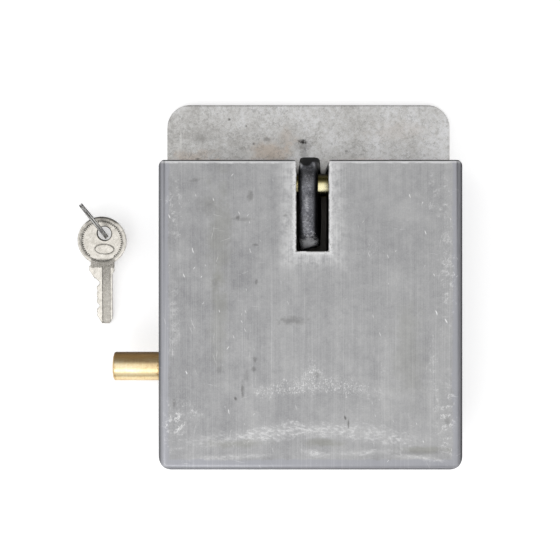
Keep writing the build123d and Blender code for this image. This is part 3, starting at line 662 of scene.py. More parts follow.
@dataclass(frozen=True)
class PlateSteel:
    """Matt plate steel, mottled, pitted and faintly brown near the cover, with painted shade inside the cover
    and along the plate's top edge.
    """

    dark: Colour = display(182, 180, 177)
    middle: Colour = display(214, 213, 211)
    light: Colour = display(238, 238, 239)
    brown: Colour = display(208, 186, 164)
    # Colour of the pits and dirt, and of the painted shade along the top edge.
    pit_and_painted_edge_shade: Colour = display(70, 67, 64)
    # Painted shade: the near-black of the plate inside the cover.
    painted_pocket_shade: Colour = display(92, 89, 84)
    rubbed: Colour = display(232, 231, 228)
    strip_height: float = 31.6
    rust: tuple[Mark, ...] = (
        Mark(-62.0, 81.0, 13.0, 6.0, 0.7), Mark(-50.0, 78.5, 12.0, 2.6, 0.6),
        Mark(-19.0, 85.0, 13.0, 7.5, 0.8), Mark(-12.0, 92.0, 6.0, 7.0, 0.4), Mark(30.0, 79.0, 22.0, 3.0, 0.4),
        Mark(45.0, 96.0, 20.0, 6.0, 0.25),
    )
    smudges: tuple[Mark, ...] = (
        Mark(-3.0, 90.2, 2.8, 1.5, 0.95), Mark(-2.6, 88.0, 5.0, 3.6, 0.4), Mark(-22.0, 91.5, 2.6, 1.4, 0.5),
        Mark(-57.0, 92.0, 4.6, 4.0, 0.25), Mark(-29.0, 89.0, 0.8, 0.8, 0.7), Mark(-58.5, 81.0, 1.4, 0.7, 0.7),
        Mark(-2.2, 83.0, 3.0, 5.0, 0.4), Mark(-41.8, 101.9, 0.9, 0.8, 0.85),
        Mark(-33.0, 98.4, 0.8, 0.7, 0.85), Mark(-46.0, 79.0, 5.0, 1.6, 0.4), Mark(-17.0, 78.5, 1.4, 0.9, 0.8),
        Mark(20.0, 85.0, 1.2, 0.9, 0.6), Mark(52.0, 78.5, 4.0, 1.2, 0.4),
    )
    stains: tuple[Mark, ...] = (
        Mark(-67.4, 90.0, 0.7, 6.5, 0.95), Mark(-69.0, 86.0, 1.2, 4.5, 0.6),
        Mark(-30.0, 84.0, 5.0, 2.0, 0.35),
    )
    scratches: tuple[Stroke, ...] = (
        Stroke(6.0, 0.1, 5.0, 0.2, 0.03), Stroke(82.0, 0.09, 4.0, 0.2, 0.03),
        Stroke(-40.0, 0.12, 4.0, 0.2, 0.02),
    )
    cuts: tuple[Stroke, ...] = (Stroke(86.0, 0.14, 2.4, 0.24, 0.03), Stroke(-35.0, 0.16, 1.8, 0.24, 0.02))

    def make(self, cover_top: float) -> bpy.types.Material:
        """Build the material.

        Args:
            cover_top: Y of the cover's top edge, in millimetres.

        Returns:
            The material.
        """
        graph = Graph("plate_steel")
        point = graph.millimetres()
        x, y, z = graph.parts(point)
        cloud = graph.noise(point, 0.06, 4.0, 0.6)
        mottle = graph.noise(point, 0.42, 5.0, 0.7)
        grain = graph.noise(point, 1.8, 3.0, 0.7)
        tone = cloud * 0.34 + mottle * 0.38 + grain * 0.28 + x * 0.0005
        colour = graph.ramp(tone, [(0.4, self.dark), (0.5, self.middle), (0.6, self.light)])
        ragged = graph.noise(point, 0.16, 5.0, 0.7)
        rust = marked(graph, point, self.rust, ragged) * (mottle * 0.7 + 0.35)
        colour = graph.mix(rust * 0.8, colour, self.brown)
        shade = (y - cover_top).step(7.0, -1.0)
        colour = graph.mix(shade * (0.15 + mottle * 0.35), colour, self.dark)
        scratch = graph.strokes(point, *self.scratches)
        pale = marked(graph, point, self.stains, graph.noise(point, 0.9, 4.0, 0.8))
        colour = graph.mix((scratch * 0.5).at_least(pale * 0.8), colour, self.rubbed)
        cuts = graph.strokes(point, *self.cuts).at_least(graph.veins(point, 0.22, 0.06) * 0.7)
        cuts = cuts.at_least(graph.veins(point, 0.5, 0.1) * 0.5)
        pits = graph.spots(point, 0.5, 0.13, 0.07).at_least(graph.spots(point, 0.2, 0.08, 0.14))
        smudges = marked(graph, point, self.smudges, graph.noise(point, 0.8, 4.0, 0.85))
        dirt = smudges.at_least(pits * 0.8).at_least(cuts * 0.6)
        colour = graph.mix(dirt * (grain * 0.7 + 0.4), colour, self.pit_and_painted_edge_shade)
        # Painted shade: a dark line along the plate's rounded top edge.
        edge = (y - (cover_top + self.strip_height)).step(0.4, 1.2)
        colour = graph.mix(edge * 0.35, colour, self.pit_and_painted_edge_shade)
        # Painted shade: the plate goes almost black where it lies inside the cover.
        hidden = (cover_top - y).step(-0.5, 5.5) * z.step(3.0, 4.5)
        colour = graph.mix(hidden * 0.96, colour, self.painted_pocket_shade)
        height = mottle * 0.4 + grain * 0.3 - dirt * 0.6 - scratch * 0.3
        rough = 0.48 + (mottle - 0.5) * 0.3 + smudges * 0.2
        return graph.surface(
            base_color=colour, metallic=0.75, roughness=rough, normal=graph.bump(height, 0.02)
        )


@dataclass(frozen=True)
class MillScale:
    """Black scale on a forged link, rubbed to bright grey specks, with a painted highlight down the middle of
    its front and on its foot, and painted shade on its crown and along the sides of its front.
    """

    black: Colour = display(34, 34, 37)
    grey: Colour = display(120, 121, 127)
    # Colour of the rubbed specks and of the painted highlight.
    rubbed: Colour = display(236, 236, 240)
    # Painted shade on the crown and along the sides of the front.
    painted_shade_black: Colour = display(7, 7, 8)
    # The line and sag of the painted shade on the crown.
    crown_shade_line: float = 73.4
    crown_shade_sag: float = 0.28
    foot_line: float = 36.6
    middle: float = -1.9
    half_width: float = 3.6
    # Painted highlight: the lit streak down the middle of the front and the lit foot.
    bright: tuple[Mark, ...] = (
        Mark(-2.0, 55.6, 1.5, 5.2, 0.6), Mark(-2.2, 45.0, 2.2, 6.0, 0.3), Mark(-1.8, 68.0, 4.4, 7.0, 0.35),
        Mark(-0.8, 34.6, 6.6, 4.6, 2.6, 17.0), Mark(-4.8, 73.8, 1.0, 2.4, 0.6),
        Mark(2.0, 74.4, 0.9, 1.8, 0.5),
    )

    def make(self) -> bpy.types.Material:
        """Build the material.

        Returns:
            The material.
        """
        graph = Graph("mill_scale")
        point = graph.millimetres()
        x, y, _ = graph.parts(point)
        cloud = graph.noise(point, 0.16, 4.0, 0.65)
        flake = graph.noise(point, 0.8, 4.0, 0.75)
        fine = graph.noise(point, 3.2, 3.0, 0.75)
        tone = cloud * 0.3 + flake * 0.35 + fine * 0.35
        colour = graph.ramp(tone, [(0.36, self.black), (0.58, self.grey)])
        # Painted highlight from these marks; the fine specks are rubbed scale, more of them under the
        # highlight.
        bright = marked(graph, point, self.bright, graph.noise(point, 0.5, 4.0, 0.75)).at_most(2.6)
        specks = (fine * 0.6 + flake * 0.4 + bright.at_most(1.0) * 0.12).step(0.56, 0.7)
        colour = graph.mix(specks * 0.5 + bright * 0.3, colour, self.rubbed)
        fray = (flake - 0.5) * 1.6
        # Painted shade: black along both sides of the front, except under the painted highlight, and over the
        # crown above a sagging line.
        beside = (abs(x - self.middle) + fray).step(self.half_width - 0.4, self.half_width + 1.0)
        sag = (x - self.middle) ** 2.0 * self.crown_shade_sag
        above = (y - sag + fray).step(self.crown_shade_line - 0.6, self.crown_shade_line + 0.8)
        above = above.at_least(y.step(75.4, 76.4))
        painted_shade_mask = (beside * 0.8 * (1.0 - bright).at_least(0.0)).at_least(above)
        colour = graph.mix(painted_shade_mask, colour, self.painted_shade_black)
        foot = y.step(self.foot_line + 2.0, self.foot_line - 1.5)
        return graph.surface(
            base_color=colour,
            metallic=(0.85 - above * 0.85) * (1.0 - foot * 0.9),
            roughness=0.36 + (flake - 0.5) * 0.3 + above * 0.35,
            specular_ior_level=0.25,
            normal=graph.bump(flake * 0.6 + fine * 0.4, 0.1),
        )


@dataclass(frozen=True)
class TurnedBrass:
    """Turned brass with fine rings about the X axis, with painted shade: brown and black along its upper side
    and brown along its lower side.

    Heights are in radii from the bar's axis, toward +Y.
    """

    name: str
    axis: float
    radius: float
    # Heights where the painted shade on the upper side begins and is full.
    painted_upper_shade_from: float
    painted_upper_shade_to: float
    # Dirty places and painted shadows.
    grime_and_painted_shade: tuple[Mark, ...] = ()
    # Height where the painted black line along the top begins.
    painted_black_top_from: float = 0.4
    dull: float = 0.7
    roughness: float = 0.3
    # Strength of the painted shade on the lower side.
    painted_lower_shade: float = 0.6
    brass: Colour = display(242, 218, 168)
    pale: Colour = display(250, 236, 202)
    brown: Colour = display(214, 178, 138)
    # Colour of the painted shade and of the dirty places.
    tarnish_and_painted_shade: Colour = display(176, 138, 84)
    # Colour of the painted black line along the top.
    black: Colour = display(22, 18, 7)

    def make(self) -> bpy.types.Material:
        """Build the material.

        Returns:
            The material.
        """
        graph = Graph(self.name)
        point = graph.millimetres()
        _, y, _ = graph.parts(point)
        rings = graph.noise(graph.scaled(point, (5.0, 0.02, 0.02)), 1.0, 2.0, 0.6)
        cloud = graph.noise(graph.scaled(point, (0.5, 1.0, 1.0)), 0.14, 3.0, 0.5)
        fine = graph.noise(point, 0.9, 4.0, 0.65)
        tone = rings * 0.2 + cloud * 0.5 + fine * 0.3
        colour = graph.ramp(tone, [(0.36, self.brown), (0.5, self.brass), (0.64, self.pale)])
        bloom = graph.noise(graph.scaled(point, (0.6, 1.0, 1.0)), 0.25, 4.0, 0.7).step(0.58, 0.74)
        colour = graph.mix(bloom * 0.4, colour, self.brown)
        height = (y - self.axis) / self.radius + (fine - 0.5) * 0.15
        # Painted shade: brown over the upper side and the lower side, with the dirty places.
        top = height.step(self.painted_upper_shade_from, self.painted_upper_shade_to)
        painted_shade_and_grime = (top * 0.95).at_least(marked(graph, point, self.grime_and_painted_shade, fine) * 0.85)
        under = height.step(-0.62, -0.95)
        colour = graph.mix(painted_shade_and_grime.at_least(under * self.painted_lower_shade), colour, self.tarnish_and_painted_shade)
        # Painted shade: a black line along the top.
        rim = height.step(self.painted_black_top_from, 0.98)
        colour = graph.mix(rim * 0.97, colour, self.black)
        return graph.surface(
            base_color=colour,
            metallic=1.0 - top.at_least(under) * self.dull - rim * (0.95 - self.dull),
            roughness=self.roughness + (fine - 0.5) * 0.12 + bloom * 0.1 + rim * 0.4,
            specular_ior_level=0.1,
            normal=graph.bump(rings * 0.5 + fine * 0.5, 0.006),
        )


@dataclass(frozen=True)
class PlatedSteel:
    """Bright nickel or zinc plate, slightly worn."""

    name: str
    bright: Colour
    worn: Colour
    roughness: float
    # Colour of the darkening: dirt, and painted shade on the key and the ring.
    dirt: Colour = display(38, 35, 28)

    def make(self, stipple: Mask | None = None, grime_and_painted_shade: Mask | None = None) -> bpy.types.Material:
        """Build the material.

        Args:
            stipple: Function that gives 1 where the surface is stippled.
            grime_and_painted_shade: Function that gives 1 where it is darkened by dirt and by painted shade.

        Returns:
            The material.
        """
        graph = Graph(self.name)
        point = graph.millimetres()
        cloud = graph.noise(point, 0.4, 4.0, 0.6)
        grain = graph.noise(point, 3.5, 3.0, 0.6)
        hatch = graph.noise(graph.scaled(graph.turned(point, 40.0), (3.0, 0.6, 1.0)), 1.0, 2.0, 0.6)
        scratch = graph.streaks(point, 15.0, 5.0, 0.3, 0.72)
        scratch = scratch.at_least(graph.streaks(point, -40.0, 5.0, 0.3, 0.72))
        tone = cloud * 0.4 + grain * 0.3 + hatch * 0.3
        colour = graph.ramp(tone, [(0.4, self.worn), (0.58, self.bright)])
        rough: Operand = self.roughness + (grain - 0.5) * 0.2 + scratch * 0.1
        height = grain * 0.3 - scratch * 0.3
        if stipple is not None:
            field_mask = stipple(graph, point)
            pocks = graph.noise(point, 2.4, 3.0, 0.8)
            dark = tuple(part * 0.5 for part in self.worn)
            colour = graph.mix(field_mask * pocks.step(0.64, 0.4), colour, dark)
            rough = rough + field_mask * 0.25
            height = height + field_mask * pocks * 3.0
        # Darkening that is partly painted shade.
        if grime_and_painted_shade is not None:
            colour = graph.mix(grime_and_painted_shade(graph, point), colour, self.dirt)
        normal = graph.bump(height, 0.02)
        return graph.surface(base_color=colour, metallic=1.0, roughness=rough, normal=normal)


@dataclass(frozen=True)
class MachinedSteel:
    """Milled steel of the inner parts, with faint cutter marks and an oil film."""

    name: str
    dark: Colour
    light: Colour
    roughness: float = 0.38

    def make(self) -> bpy.types.Material:
        """Build the material.

        Returns:
            The material.
        """
        graph = Graph(self.name)
        point = graph.millimetres()
        marks = graph.noise(graph.scaled(point, (0.25, 2.2, 0.25)), 1.0, 2.0, 0.5)
        cloud = graph.noise(point, 0.12, 3.0, 0.6)
        colour = graph.ramp(marks * 0.5 + cloud * 0.5, [(0.38, self.dark), (0.62, self.light)])
        return graph.surface(
            base_color=colour,
            metallic=0.95,
            roughness=self.roughness + (cloud - 0.5) * 0.2,
            normal=graph.bump(marks, 0.01),
        )


class Form:
    """A mesh in millimetres that is shaped with bmesh operators and ends as one piece."""

    def __init__(self) -> None:
        """Start an empty mesh."""
        self.mesh = bmesh.new()

    def everything(self) -> list[bmesh.types.BMVert | bmesh.types.BMEdge | bmesh.types.BMFace]:
        """Return all vertices, edges and faces."""
        return [*self.mesh.verts, *self.mesh.edges, *self.mesh.faces]

    def cut(self, point: Vector, normal: Vector) -> None:
        """Cut away what lies on the normal's side of a plane, and close the cut.

        Args:
            point: A point of the plane.
            normal: The direction of the side that goes.
        """
        made = bmesh.ops.bisect_plane(
            self.mesh, geom=self.everything(), plane_co=point, plane_no=normal, clear_outer=True
        )
        edges = [part for part in made["geom_cut"] if isinstance(part, bmesh.types.BMEdge)]
        bmesh.ops.edgeloop_fill(self.mesh, edges=edges)

    def finish(
        self,
        name: str,
        body: Body,
        slot: Slot,
        material: bpy.types.Material,
        sharp_angle: float = 35.0,
    ) -> bpy.types.Object:
        """Turn the mesh into a piece in the scene.

        Args:
            name: Name of the piece.
            body: The body that it rides on.
            slot: The record's material slot; not used.
            material: Its material.
            sharp_angle: Angle between faces, in degrees, above which an edge stays sharp.

        Returns:
            The new object.
        """
        bmesh.ops.remove_doubles(self.mesh, verts=self.mesh.verts, dist=MERGE_DISTANCE)
        bmesh.ops.recalc_face_normals(self.mesh, faces=self.mesh.faces)
        bmesh.ops.scale(self.mesh, vec=(MM, MM, MM), verts=self.mesh.verts)
        data = bpy.data.meshes.new(name)
        self.mesh.to_mesh(data)
        self.mesh.free()
        data.polygons.foreach_set("use_smooth", [True] * len(data.polygons))
        data.set_sharp_from_angle(angle=radians(sharp_angle))
        data.materials.append(material)
        piece = bpy.data.objects.new(name, data)
        bpy.context.scene.collection.objects.link(piece)
        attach(piece, body.value)
        log.info("%s: %d faces on %s", name, len(data.polygons), body.value)
        return piece


def dress(node: str, material: bpy.types.Material) -> bpy.types.Object:
    """Give a CAD node its material.

    Args:
        node: Name of the node.
        material: The material for all its slots.

    Returns:
        The node's object.
    """
    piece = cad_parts[node]
    if not piece.material_slots:
        piece.data.materials.append(material)
    for place in piece.material_slots:
        place.material = material
    log.info("%s: %s", node, material.name)
    return piece


def soften(piece: bpy.types.Object, width: float, segments: int = 2, angle: float = 40.0) -> None:
    """Round the sharp edges of a CAD node with modifiers.

    Args:
        piece: The node's object.
        width: Width of the rounding in millimetres.
        segments: Faces across the rounding.
        angle: Angle in degrees above which an edge is rounded.
    """
    weld = piece.modifiers.new("weld", "WELD")
    weld.merge_threshold = 0.002 * MM
    bevel = piece.modifiers.new("edge", "BEVEL")
    bevel.width = width * MM
    bevel.segments = segments
    bevel.limit_method = "ANGLE"
    bevel.angle_limit = radians(angle)
    bevel.harden_normals = False


@dataclass
class CoverBox:
    """The bent sheet cover and the flat plate behind it."""

    edge_round: float = 0.3
    bare_band: float = 5.6
    bare_fade: float = 1.2
    slot_width: float = 16.0
    slot_centre: float = 0.9
    slot_depth: float = 45.0
    front: float = field(init=False)
    top: float = field(init=False)
    half_width: float = field(init=False)

    def __post_init__(self) -> None:
        """Read the cover's own box from the frame."""
        _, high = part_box("front_cover")
        self.half_width, self.top, self.front = (part * PER_METRE for part in high)

    def bare_steel(self, x: Signal, y: Signal, ragged: Signal) -> Signal:
        """Return 1 in the bare bands along the sides and the bottom.

        Args:
            x: Place across the cover.
            y: Place along the cover.
            ragged: Noise about 0.5 that breaks up their borders.

        Returns:
            1 in a band, 0 elsewhere.
        """
        beside = (abs(x) - (self.half_width - self.bare_band)) / self.bare_fade
        beneath = (self.bare_band - self.top - y) / self.bare_fade
        return (beside.at_least(beneath) + (ragged - 0.5) * 3.0).step(-0.2, 0.6)

    def slot_distance(self, x: Signal, y: Signal) -> Signal:
        """Return the distance of a point from the slot's outline, outside the slot.

        Args:
            x: Place across the cover.
            y: Place along the cover.

        Returns:
            The distance in millimetres, 0 in the slot.
        """
        beside = abs(x - self.slot_centre) - self.slot_width / 2
        below = (self.top - self.slot_depth) - y
        return beside.at_least(below).at_least(0.0)

    def build(self) -> None:
        """Dress the cover and the plate."""
        cover = dress("front_cover", CoverSteel().make(self))
        soften(cover, self.edge_round)
        plate = dress("back_plate", PlateSteel().make(self.top))
        soften(plate, self.edge_round * 2)


@dataclass
class HangingLink:
    """The closed link of rounded square bar, with its flat crown and its slanting foot."""

    bar: float = 10.0
    bar_round: float = 3.6
    inner_width: float = 18.0
    lean: float = 5.4
    crown_flat: float = 2.0
    crown_drop: float = 0.9
    foot_slant: float = 17.0
    foot_cut: float = 2.0
    round_steps: int = 7
    bend_steps: int = 30
    straight_steps: int = 14
    dent: float = 0.14
    edge_wear: float = 0.35

    def build(self) -> None:
        """Sweep the bar round the link, cut its ends and roughen it."""
        low, high = (corner * PER_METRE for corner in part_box("link"))
        bend = (self.inner_width + self.bar) / 2
        crown = high.y + self.crown_flat - bend - self.bar / 2
        foot = low.y - self.foot_cut - self.corner_drop() + bend + self.bar / 2
        height = (low.z + high.z) / 2
        form = Form()
        self._section(form, Vector((0.0, foot, bend)))
        self._pull(form, Vector((0.0, crown - foot, 0.0)))
        self._turn(form, crown)
        self._pull(form, Vector((0.0, foot - crown, 0.0)))
        self._turn(form, foot)
        bmesh.ops.remove_doubles(form.mesh, verts=form.mesh.verts, dist=0.001)
        bmesh.ops.recalc_face_normals(form.mesh, faces=form.mesh.faces)
        self._roughen(form)
        form.cut(Vector((0.0, high.y - self.crown_drop, 0.0)), Vector((0.0, 1.0, 0.0)))
        slant = Matrix.Rotation(radians(self.foot_slant), 3, "Z") @ Vector((0.0, -1.0, 0.0))
        form.cut(Vector((-self.bar / 2, foot - bend - self.bar / 2 + self.foot_cut, 0.0)), slant)
        self._wear(form)
        place = Matrix.Translation(((low.x + high.x) / 2, 0.0, height))
        turn = Matrix.Rotation(radians(-self.lean), 4, "Y")
        bmesh.ops.transform(form.mesh, matrix=place @ turn, verts=form.mesh.verts)
        piece = form.finish("hanging_link", Body.LINK, Slot.LINK_STEEL, MillScale().make(), 50.0)
        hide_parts("link")

    def corner_drop(self) -> float:
        """Work out how far the foot's lowest point lies above the cut at the bar's side.

        Returns:
            The height in millimetres.
        """
        depth = self.bar_round - self.foot_cut
        inset = self.bar_round - (self.bar_round**2 - depth**2) ** 0.5
        return inset * tan(radians(self.foot_slant))

    def _section(self, form: Form, centre: Vector) -> None:
        """Draw the bar's section round a centre, across the Y axis.

        Args:
            form: The form that is shaped.
            centre: Middle of the section.
        """
        place = Matrix.Translation(centre) @ Matrix.Rotation(radians(90), 4, "X")
        made = bmesh.ops.create_grid(form.mesh, x_segments=1, y_segments=1, size=self.bar / 2, matrix=place)
        bmesh.ops.bevel(
            form.mesh,
            geom=made["verts"],
            offset=self.bar_round,
            affect="VERTICES",
            segments=self.round_steps,
            profile=0.5,
            material=-1,
        )
        long_edges = [edge for edge in form.mesh.edges if edge.calc_length() > 1.0]
        bmesh.ops.subdivide_edges(form.mesh, edges=long_edges, cuts=3)
        bmesh.ops.delete(form.mesh, geom=form.mesh.faces[:], context="FACES_ONLY")

    def _last_ring(self, form: Form) -> list[bmesh.types.BMEdge]:
        """Return the edges of the newest section.

        Args:
            form: The form that is shaped.

        Returns:
            The edges.
        """
        form.mesh.edges.ensure_lookup_table()
        count = 4 * (self.round_steps + 4)
        open_edges = [edge for edge in form.mesh.edges if len(edge.link_faces) < 2]
        return sorted(open_edges, key=lambda edge: edge.index)[-count:]

    def _pull(self, form: Form, move: Vector) -> None:
        """Extrude the newest section along a straight, in steps.

        Args:
            form: The form that is shaped.
            move: Length and direction of the straight.
        """
        edges = self._last_ring(form)
        for _ in range(self.straight_steps):
            made = bmesh.ops.extrude_edge_only(form.mesh, edges=edges)["geom"]
            verts = [part for part in made if isinstance(part, bmesh.types.BMVert)]
            edges = [part for part in made if isinstance(part, bmesh.types.BMEdge)]
            bmesh.ops.translate(form.mesh, vec=move / self.straight_steps, verts=verts)
        form.mesh.edges.index_update()

    def _turn(self, form: Form, centre: float) -> None:
        """Spin the newest section half round an axis at a height of Y.

        Args:
            form: The form that is shaped.
            centre: Y of the axis.
        """
        edges = self._last_ring(form)
        verts = list({vert for edge in edges for vert in edge.verts})
        bmesh.ops.spin(
            form.mesh,
            geom=[*verts, *edges],
            cent=(0.0, centre, 0.0),
            axis=(1.0, 0.0, 0.0),
            angle=-pi,
            steps=self.bend_steps,
            use_duplicate=False,
        )
        form.mesh.edges.index_update()

    def _roughen(self, form: Form) -> None:
        """Sink each vertex a little, as on a forged bar.

        Args:
            form: The form that is shaped.
        """
        form.mesh.normal_update()
        for vert in form.mesh.verts:
            swell = noise.noise(vert.co * 0.16) + 0.5 * noise.noise(vert.co * 0.45)
            vert.co += vert.normal * (self.dent * (swell - 0.9))

    def _wear(self, form: Form) -> None:
        """Round the edges of the two cuts.

        Args:
            form: The form that is shaped.
        """
        sharp = [edge for edge in form.mesh.edges if edge.calc_face_angle(0.0) > radians(32)]
        bmesh.ops.bevel(
            form.mesh,
            geom=sharp,
            offset=self.edge_wear,
            offset_type="OFFSET",
            affect="EDGES",
            segments=2,
            profile=0.5,
            material=-1,
        )


@dataclass
class KeySet:
    """The loose key with its stamped bow, and its split ring."""

    thickness: float = 2.2
    edge_round: float = 0.18
    hole_height: float = 48.4
    bow_height: float = 44.4
    bow_offset: float = -1.25
    bow_radius: float = 12.7
    field_depth: float = 0.3
    panel_height: float = 40.1
    panel_half_length: float = 5.3
    panel_half_width: float = 2.9
    ring_radius: float = 11.3
    ring_lift: float = 0.1
    tip: tuple[float, float, float] = (-108.1, -5.85, 1.2)
    turn: float = -1.7
    bead_count: int = 58
    bead_circle: float = 10.1
    bead_radius: float = 0.36
    bead_squat: float = 0.75
    hole_clear: float = 4.6
    panel_clear: float = 3.6
    border_inset: float = 2.05
    border_sink: float = 0.22
    panel_inset: float = 0.45
    second_line: float = 11.75
    ring_axis: tuple[float, float, float] = (0.775, 0.623, -0.105)

    @property
    def tilt(self) -> float:
        """Tilt of the key in radians: its bow is held up by the ring."""
        return asin((self.ring_radius + self.ring_lift - self.tip[2]) / self.hole_height)

    @property
    def place(self) -> Matrix:
        """Place of the flat key in the frame."""
        turn = Matrix.Rotation(radians(self.turn), 4, "Z")
        return Matrix.Translation(self.tip) @ turn @ Matrix.Rotation(self.tilt, 4, "X")

    def build(self) -> None:
        """Dress the key and its ring, and add the stamped detail of the bow."""
        nickel = PlatedSteel("key_nickel", display(206, 202, 195), display(170, 166, 158), 0.3)
        plated = nickel.make(self._stippled, self._dark_lines_and_painted_shade)
        soften(dress("key", plated), self.edge_round)
        ring = PlatedSteel("ring_nickel", display(206, 205, 203), display(172, 171, 168), 0.22)
        dress("key_ring", ring.make(grime_and_painted_shade=self._ring_lines))
        self._beads(plated)
        self._borders(plated)

    def _flat(self, graph: Graph, point: Signal) -> tuple[Signal, Signal, Signal]:
        """Return a point's place on the flat key, with its tip at the origin.

        Args:
            graph: The material's graph.
            point: The point in millimetres.

        Returns:
            Its X along the bow's width, its Y from the tip up, and its Z.
        """
        settings = {"vector_type": "TEXTURE"}
        rotation = Euler((self.tilt, 0.0, radians(self.turn)))
        return graph.parts(
            graph.node("ShaderNodeMapping", settings, {0: point, 1: self.tip, 2: tuple(rotation)})
        )

    def _stippled(self, graph: Graph, point: Signal) -> Signal:
        """Return 1 in the matt stamped fields: the shoulder and the milled groove.

        Args:
            graph: The material's graph.
            point: The point in millimetres.

        Returns:
            The strength, 0 to 1.
        """
        x, y, _ = self._flat(graph, point)
        fray = (graph.noise(point, 0.9, 3.0, 0.7) - 0.5) * 1.6
        across = (x + fray).step(-7.4, -6.6) * (x + fray).step(5.9, 5.1)
        shoulder = (y + fray).step(29.8, 30.6) * (y + fray).step(35.4, 34.4) * across
        groove = (x + fray * 0.4).step(-1.3, -0.8) * (x + fray * 0.4).step(3.3, 2.8) * y.step(34.0, 31.0)
        return (shoulder * 0.9).at_least(groove * (0.5 + y.step(12.0, 31.0) * 0.4))

    def _dark_lines_and_painted_shade(self, graph: Graph, point: Signal) -> Signal:
        """Return 1 where the key is darkened along its outline, its stamped lines and its rim, with painted
        shade in its creases and on the wall of its hole.

        Args:
            graph: The material's graph.
            point: The point in millimetres.

        Returns:
            The strength, 0 to 1.
        """
        x, y, _ = self._flat(graph, point)
        broken = graph.noise(point, 0.7, 3.0, 0.7).step(0.36, 0.52)
        east, north = x - self.bow_offset, y - self.bow_height
        radius = (east ** 2.0 + north ** 2.0) ** 0.5
        upper_left = (north - east).step(-3.0, 4.0)
        second = abs(radius - self.second_line).step(0.3, 0.1) * upper_left
        top = radius.step(self.bow_radius - 0.9, self.bow_radius - 0.4) * north.step(8.0, 10.5)
        edges = graph.closed_in(0.55, inside=True).step(0.08, 0.5)
        # Painted shade in the creases.
        creases = graph.closed_in(0.5).step(0.12, 0.55)
        hole = (x ** 2.0 + (y - self.hole_height) ** 2.0) ** 0.5
        outer = radius.step(self.bow_radius - 4.6, self.bow_radius - 3.6) * (y - 26.0).step(0.0, 4.0)
        quiet = 1.0 - outer * (1.0 - upper_left) * 0.75
        lines = (edges * 0.7).at_least(creases * 0.9 * quiet).at_least(second * 0.6)
        # Painted shade on the wall of the hole and a thin rim round it.
        return (lines * (broken * 0.7 + 0.3)).at_least(top * 0.9).at_least(hole.step(4.3, 3.8))

    def _ring_lines(self, graph: Graph, point: Signal) -> Signal:
        """Return 1 in the painted shade along the ring's two turns and on its far side.

        Args:
            graph: The material's graph.
            point: The point in millimetres.

        Returns:
            The strength, 0 to 1.
        """
        low, high = (corner * PER_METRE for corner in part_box("key_ring"))
        middle = (low + high) / 2
        offset = graph.node("ShaderNodeVectorMath", {"operation": "SUBTRACT"}, {0: point, 1: tuple(middle)})
        inputs = {0: offset, 1: self.ring_axis}
        along = abs(graph.node("ShaderNodeVectorMath", {"operation": "DOT_PRODUCT"}, inputs, 1))
        # Painted shade between the two turns and along their outer sides.
        lines = along.step(0.26, 0.1).at_least(along.step(0.8, 0.95))
        # Painted shade on the far side of the ring.
        far = marked(graph, point, (Mark(low.x + 2.0, high.y - 1.6, 3.4, 3.2, 1.0),), graph.noise(point, 0.6))
        return (lines * 0.85).at_least(far)

    def _bow_point(self, angle: float, radius: float) -> Vector:
        """Return a point of the bow at an angle from its top and a radius."""
        return Vector((self.bow_offset + radius * sin(angle), self.bow_height + radius * cos(angle), 0.0))

    def _beads(self, material: bpy.types.Material) -> None:
        """Add a row of small beads along the inside of the rim, on both faces.

        Args:
            material: Their material.
        """
        floor = self.thickness / 2 - self.field_depth
        form = Form()
        for index in range(self.bead_count):
            angle = 2 * pi * (index + 0.5) / self.bead_count
            spot = self._bow_point(angle, self.bead_circle)
            in_hole = (spot - Vector((0.0, self.hole_height, 0.0))).length < self.hole_clear
            if in_hole or spot.y < self.panel_height - self.panel_clear:
                continue
            for side in (-1, 1):
                place = Matrix.Translation((spot.x, spot.y, side * floor))
                squat = Matrix.Diagonal((1.0, 1.0, self.bead_squat, 1.0))
                bmesh.ops.create_icosphere(
                    form.mesh, subdivisions=2, radius=self.bead_radius, matrix=place @ squat
                )
        bmesh.ops.transform(form.mesh, matrix=self.place, verts=form.mesh.verts)
        form.finish("key_beads", Body.KEY, Slot.KEY_NICKEL, material, 80.0)

    def _borders(self, material: bpy.types.Material) -> None:
        """Add the raised lines round the bow's field and round its oval panel.

        Args:
            material: Their material.
        """
        face = self.thickness / 2
        form = Form()
        for side in (-1, 1):
            middle, reach = (self.bow_offset, self.bow_height), self.bow_radius - self.border_inset
            self._oval(form, middle, (reach, reach), side * (face - self.border_sink))
            size = (self.panel_half_length - self.panel_inset, self.panel_half_width - self.panel_inset)
            self._oval(form, (0.0, self.panel_height), size, side * face)
        bmesh.ops.transform(form.mesh, matrix=self.place, verts=form.mesh.verts)
        form.finish("key_borders", Body.KEY, Slot.KEY_NICKEL, material, 80.0)

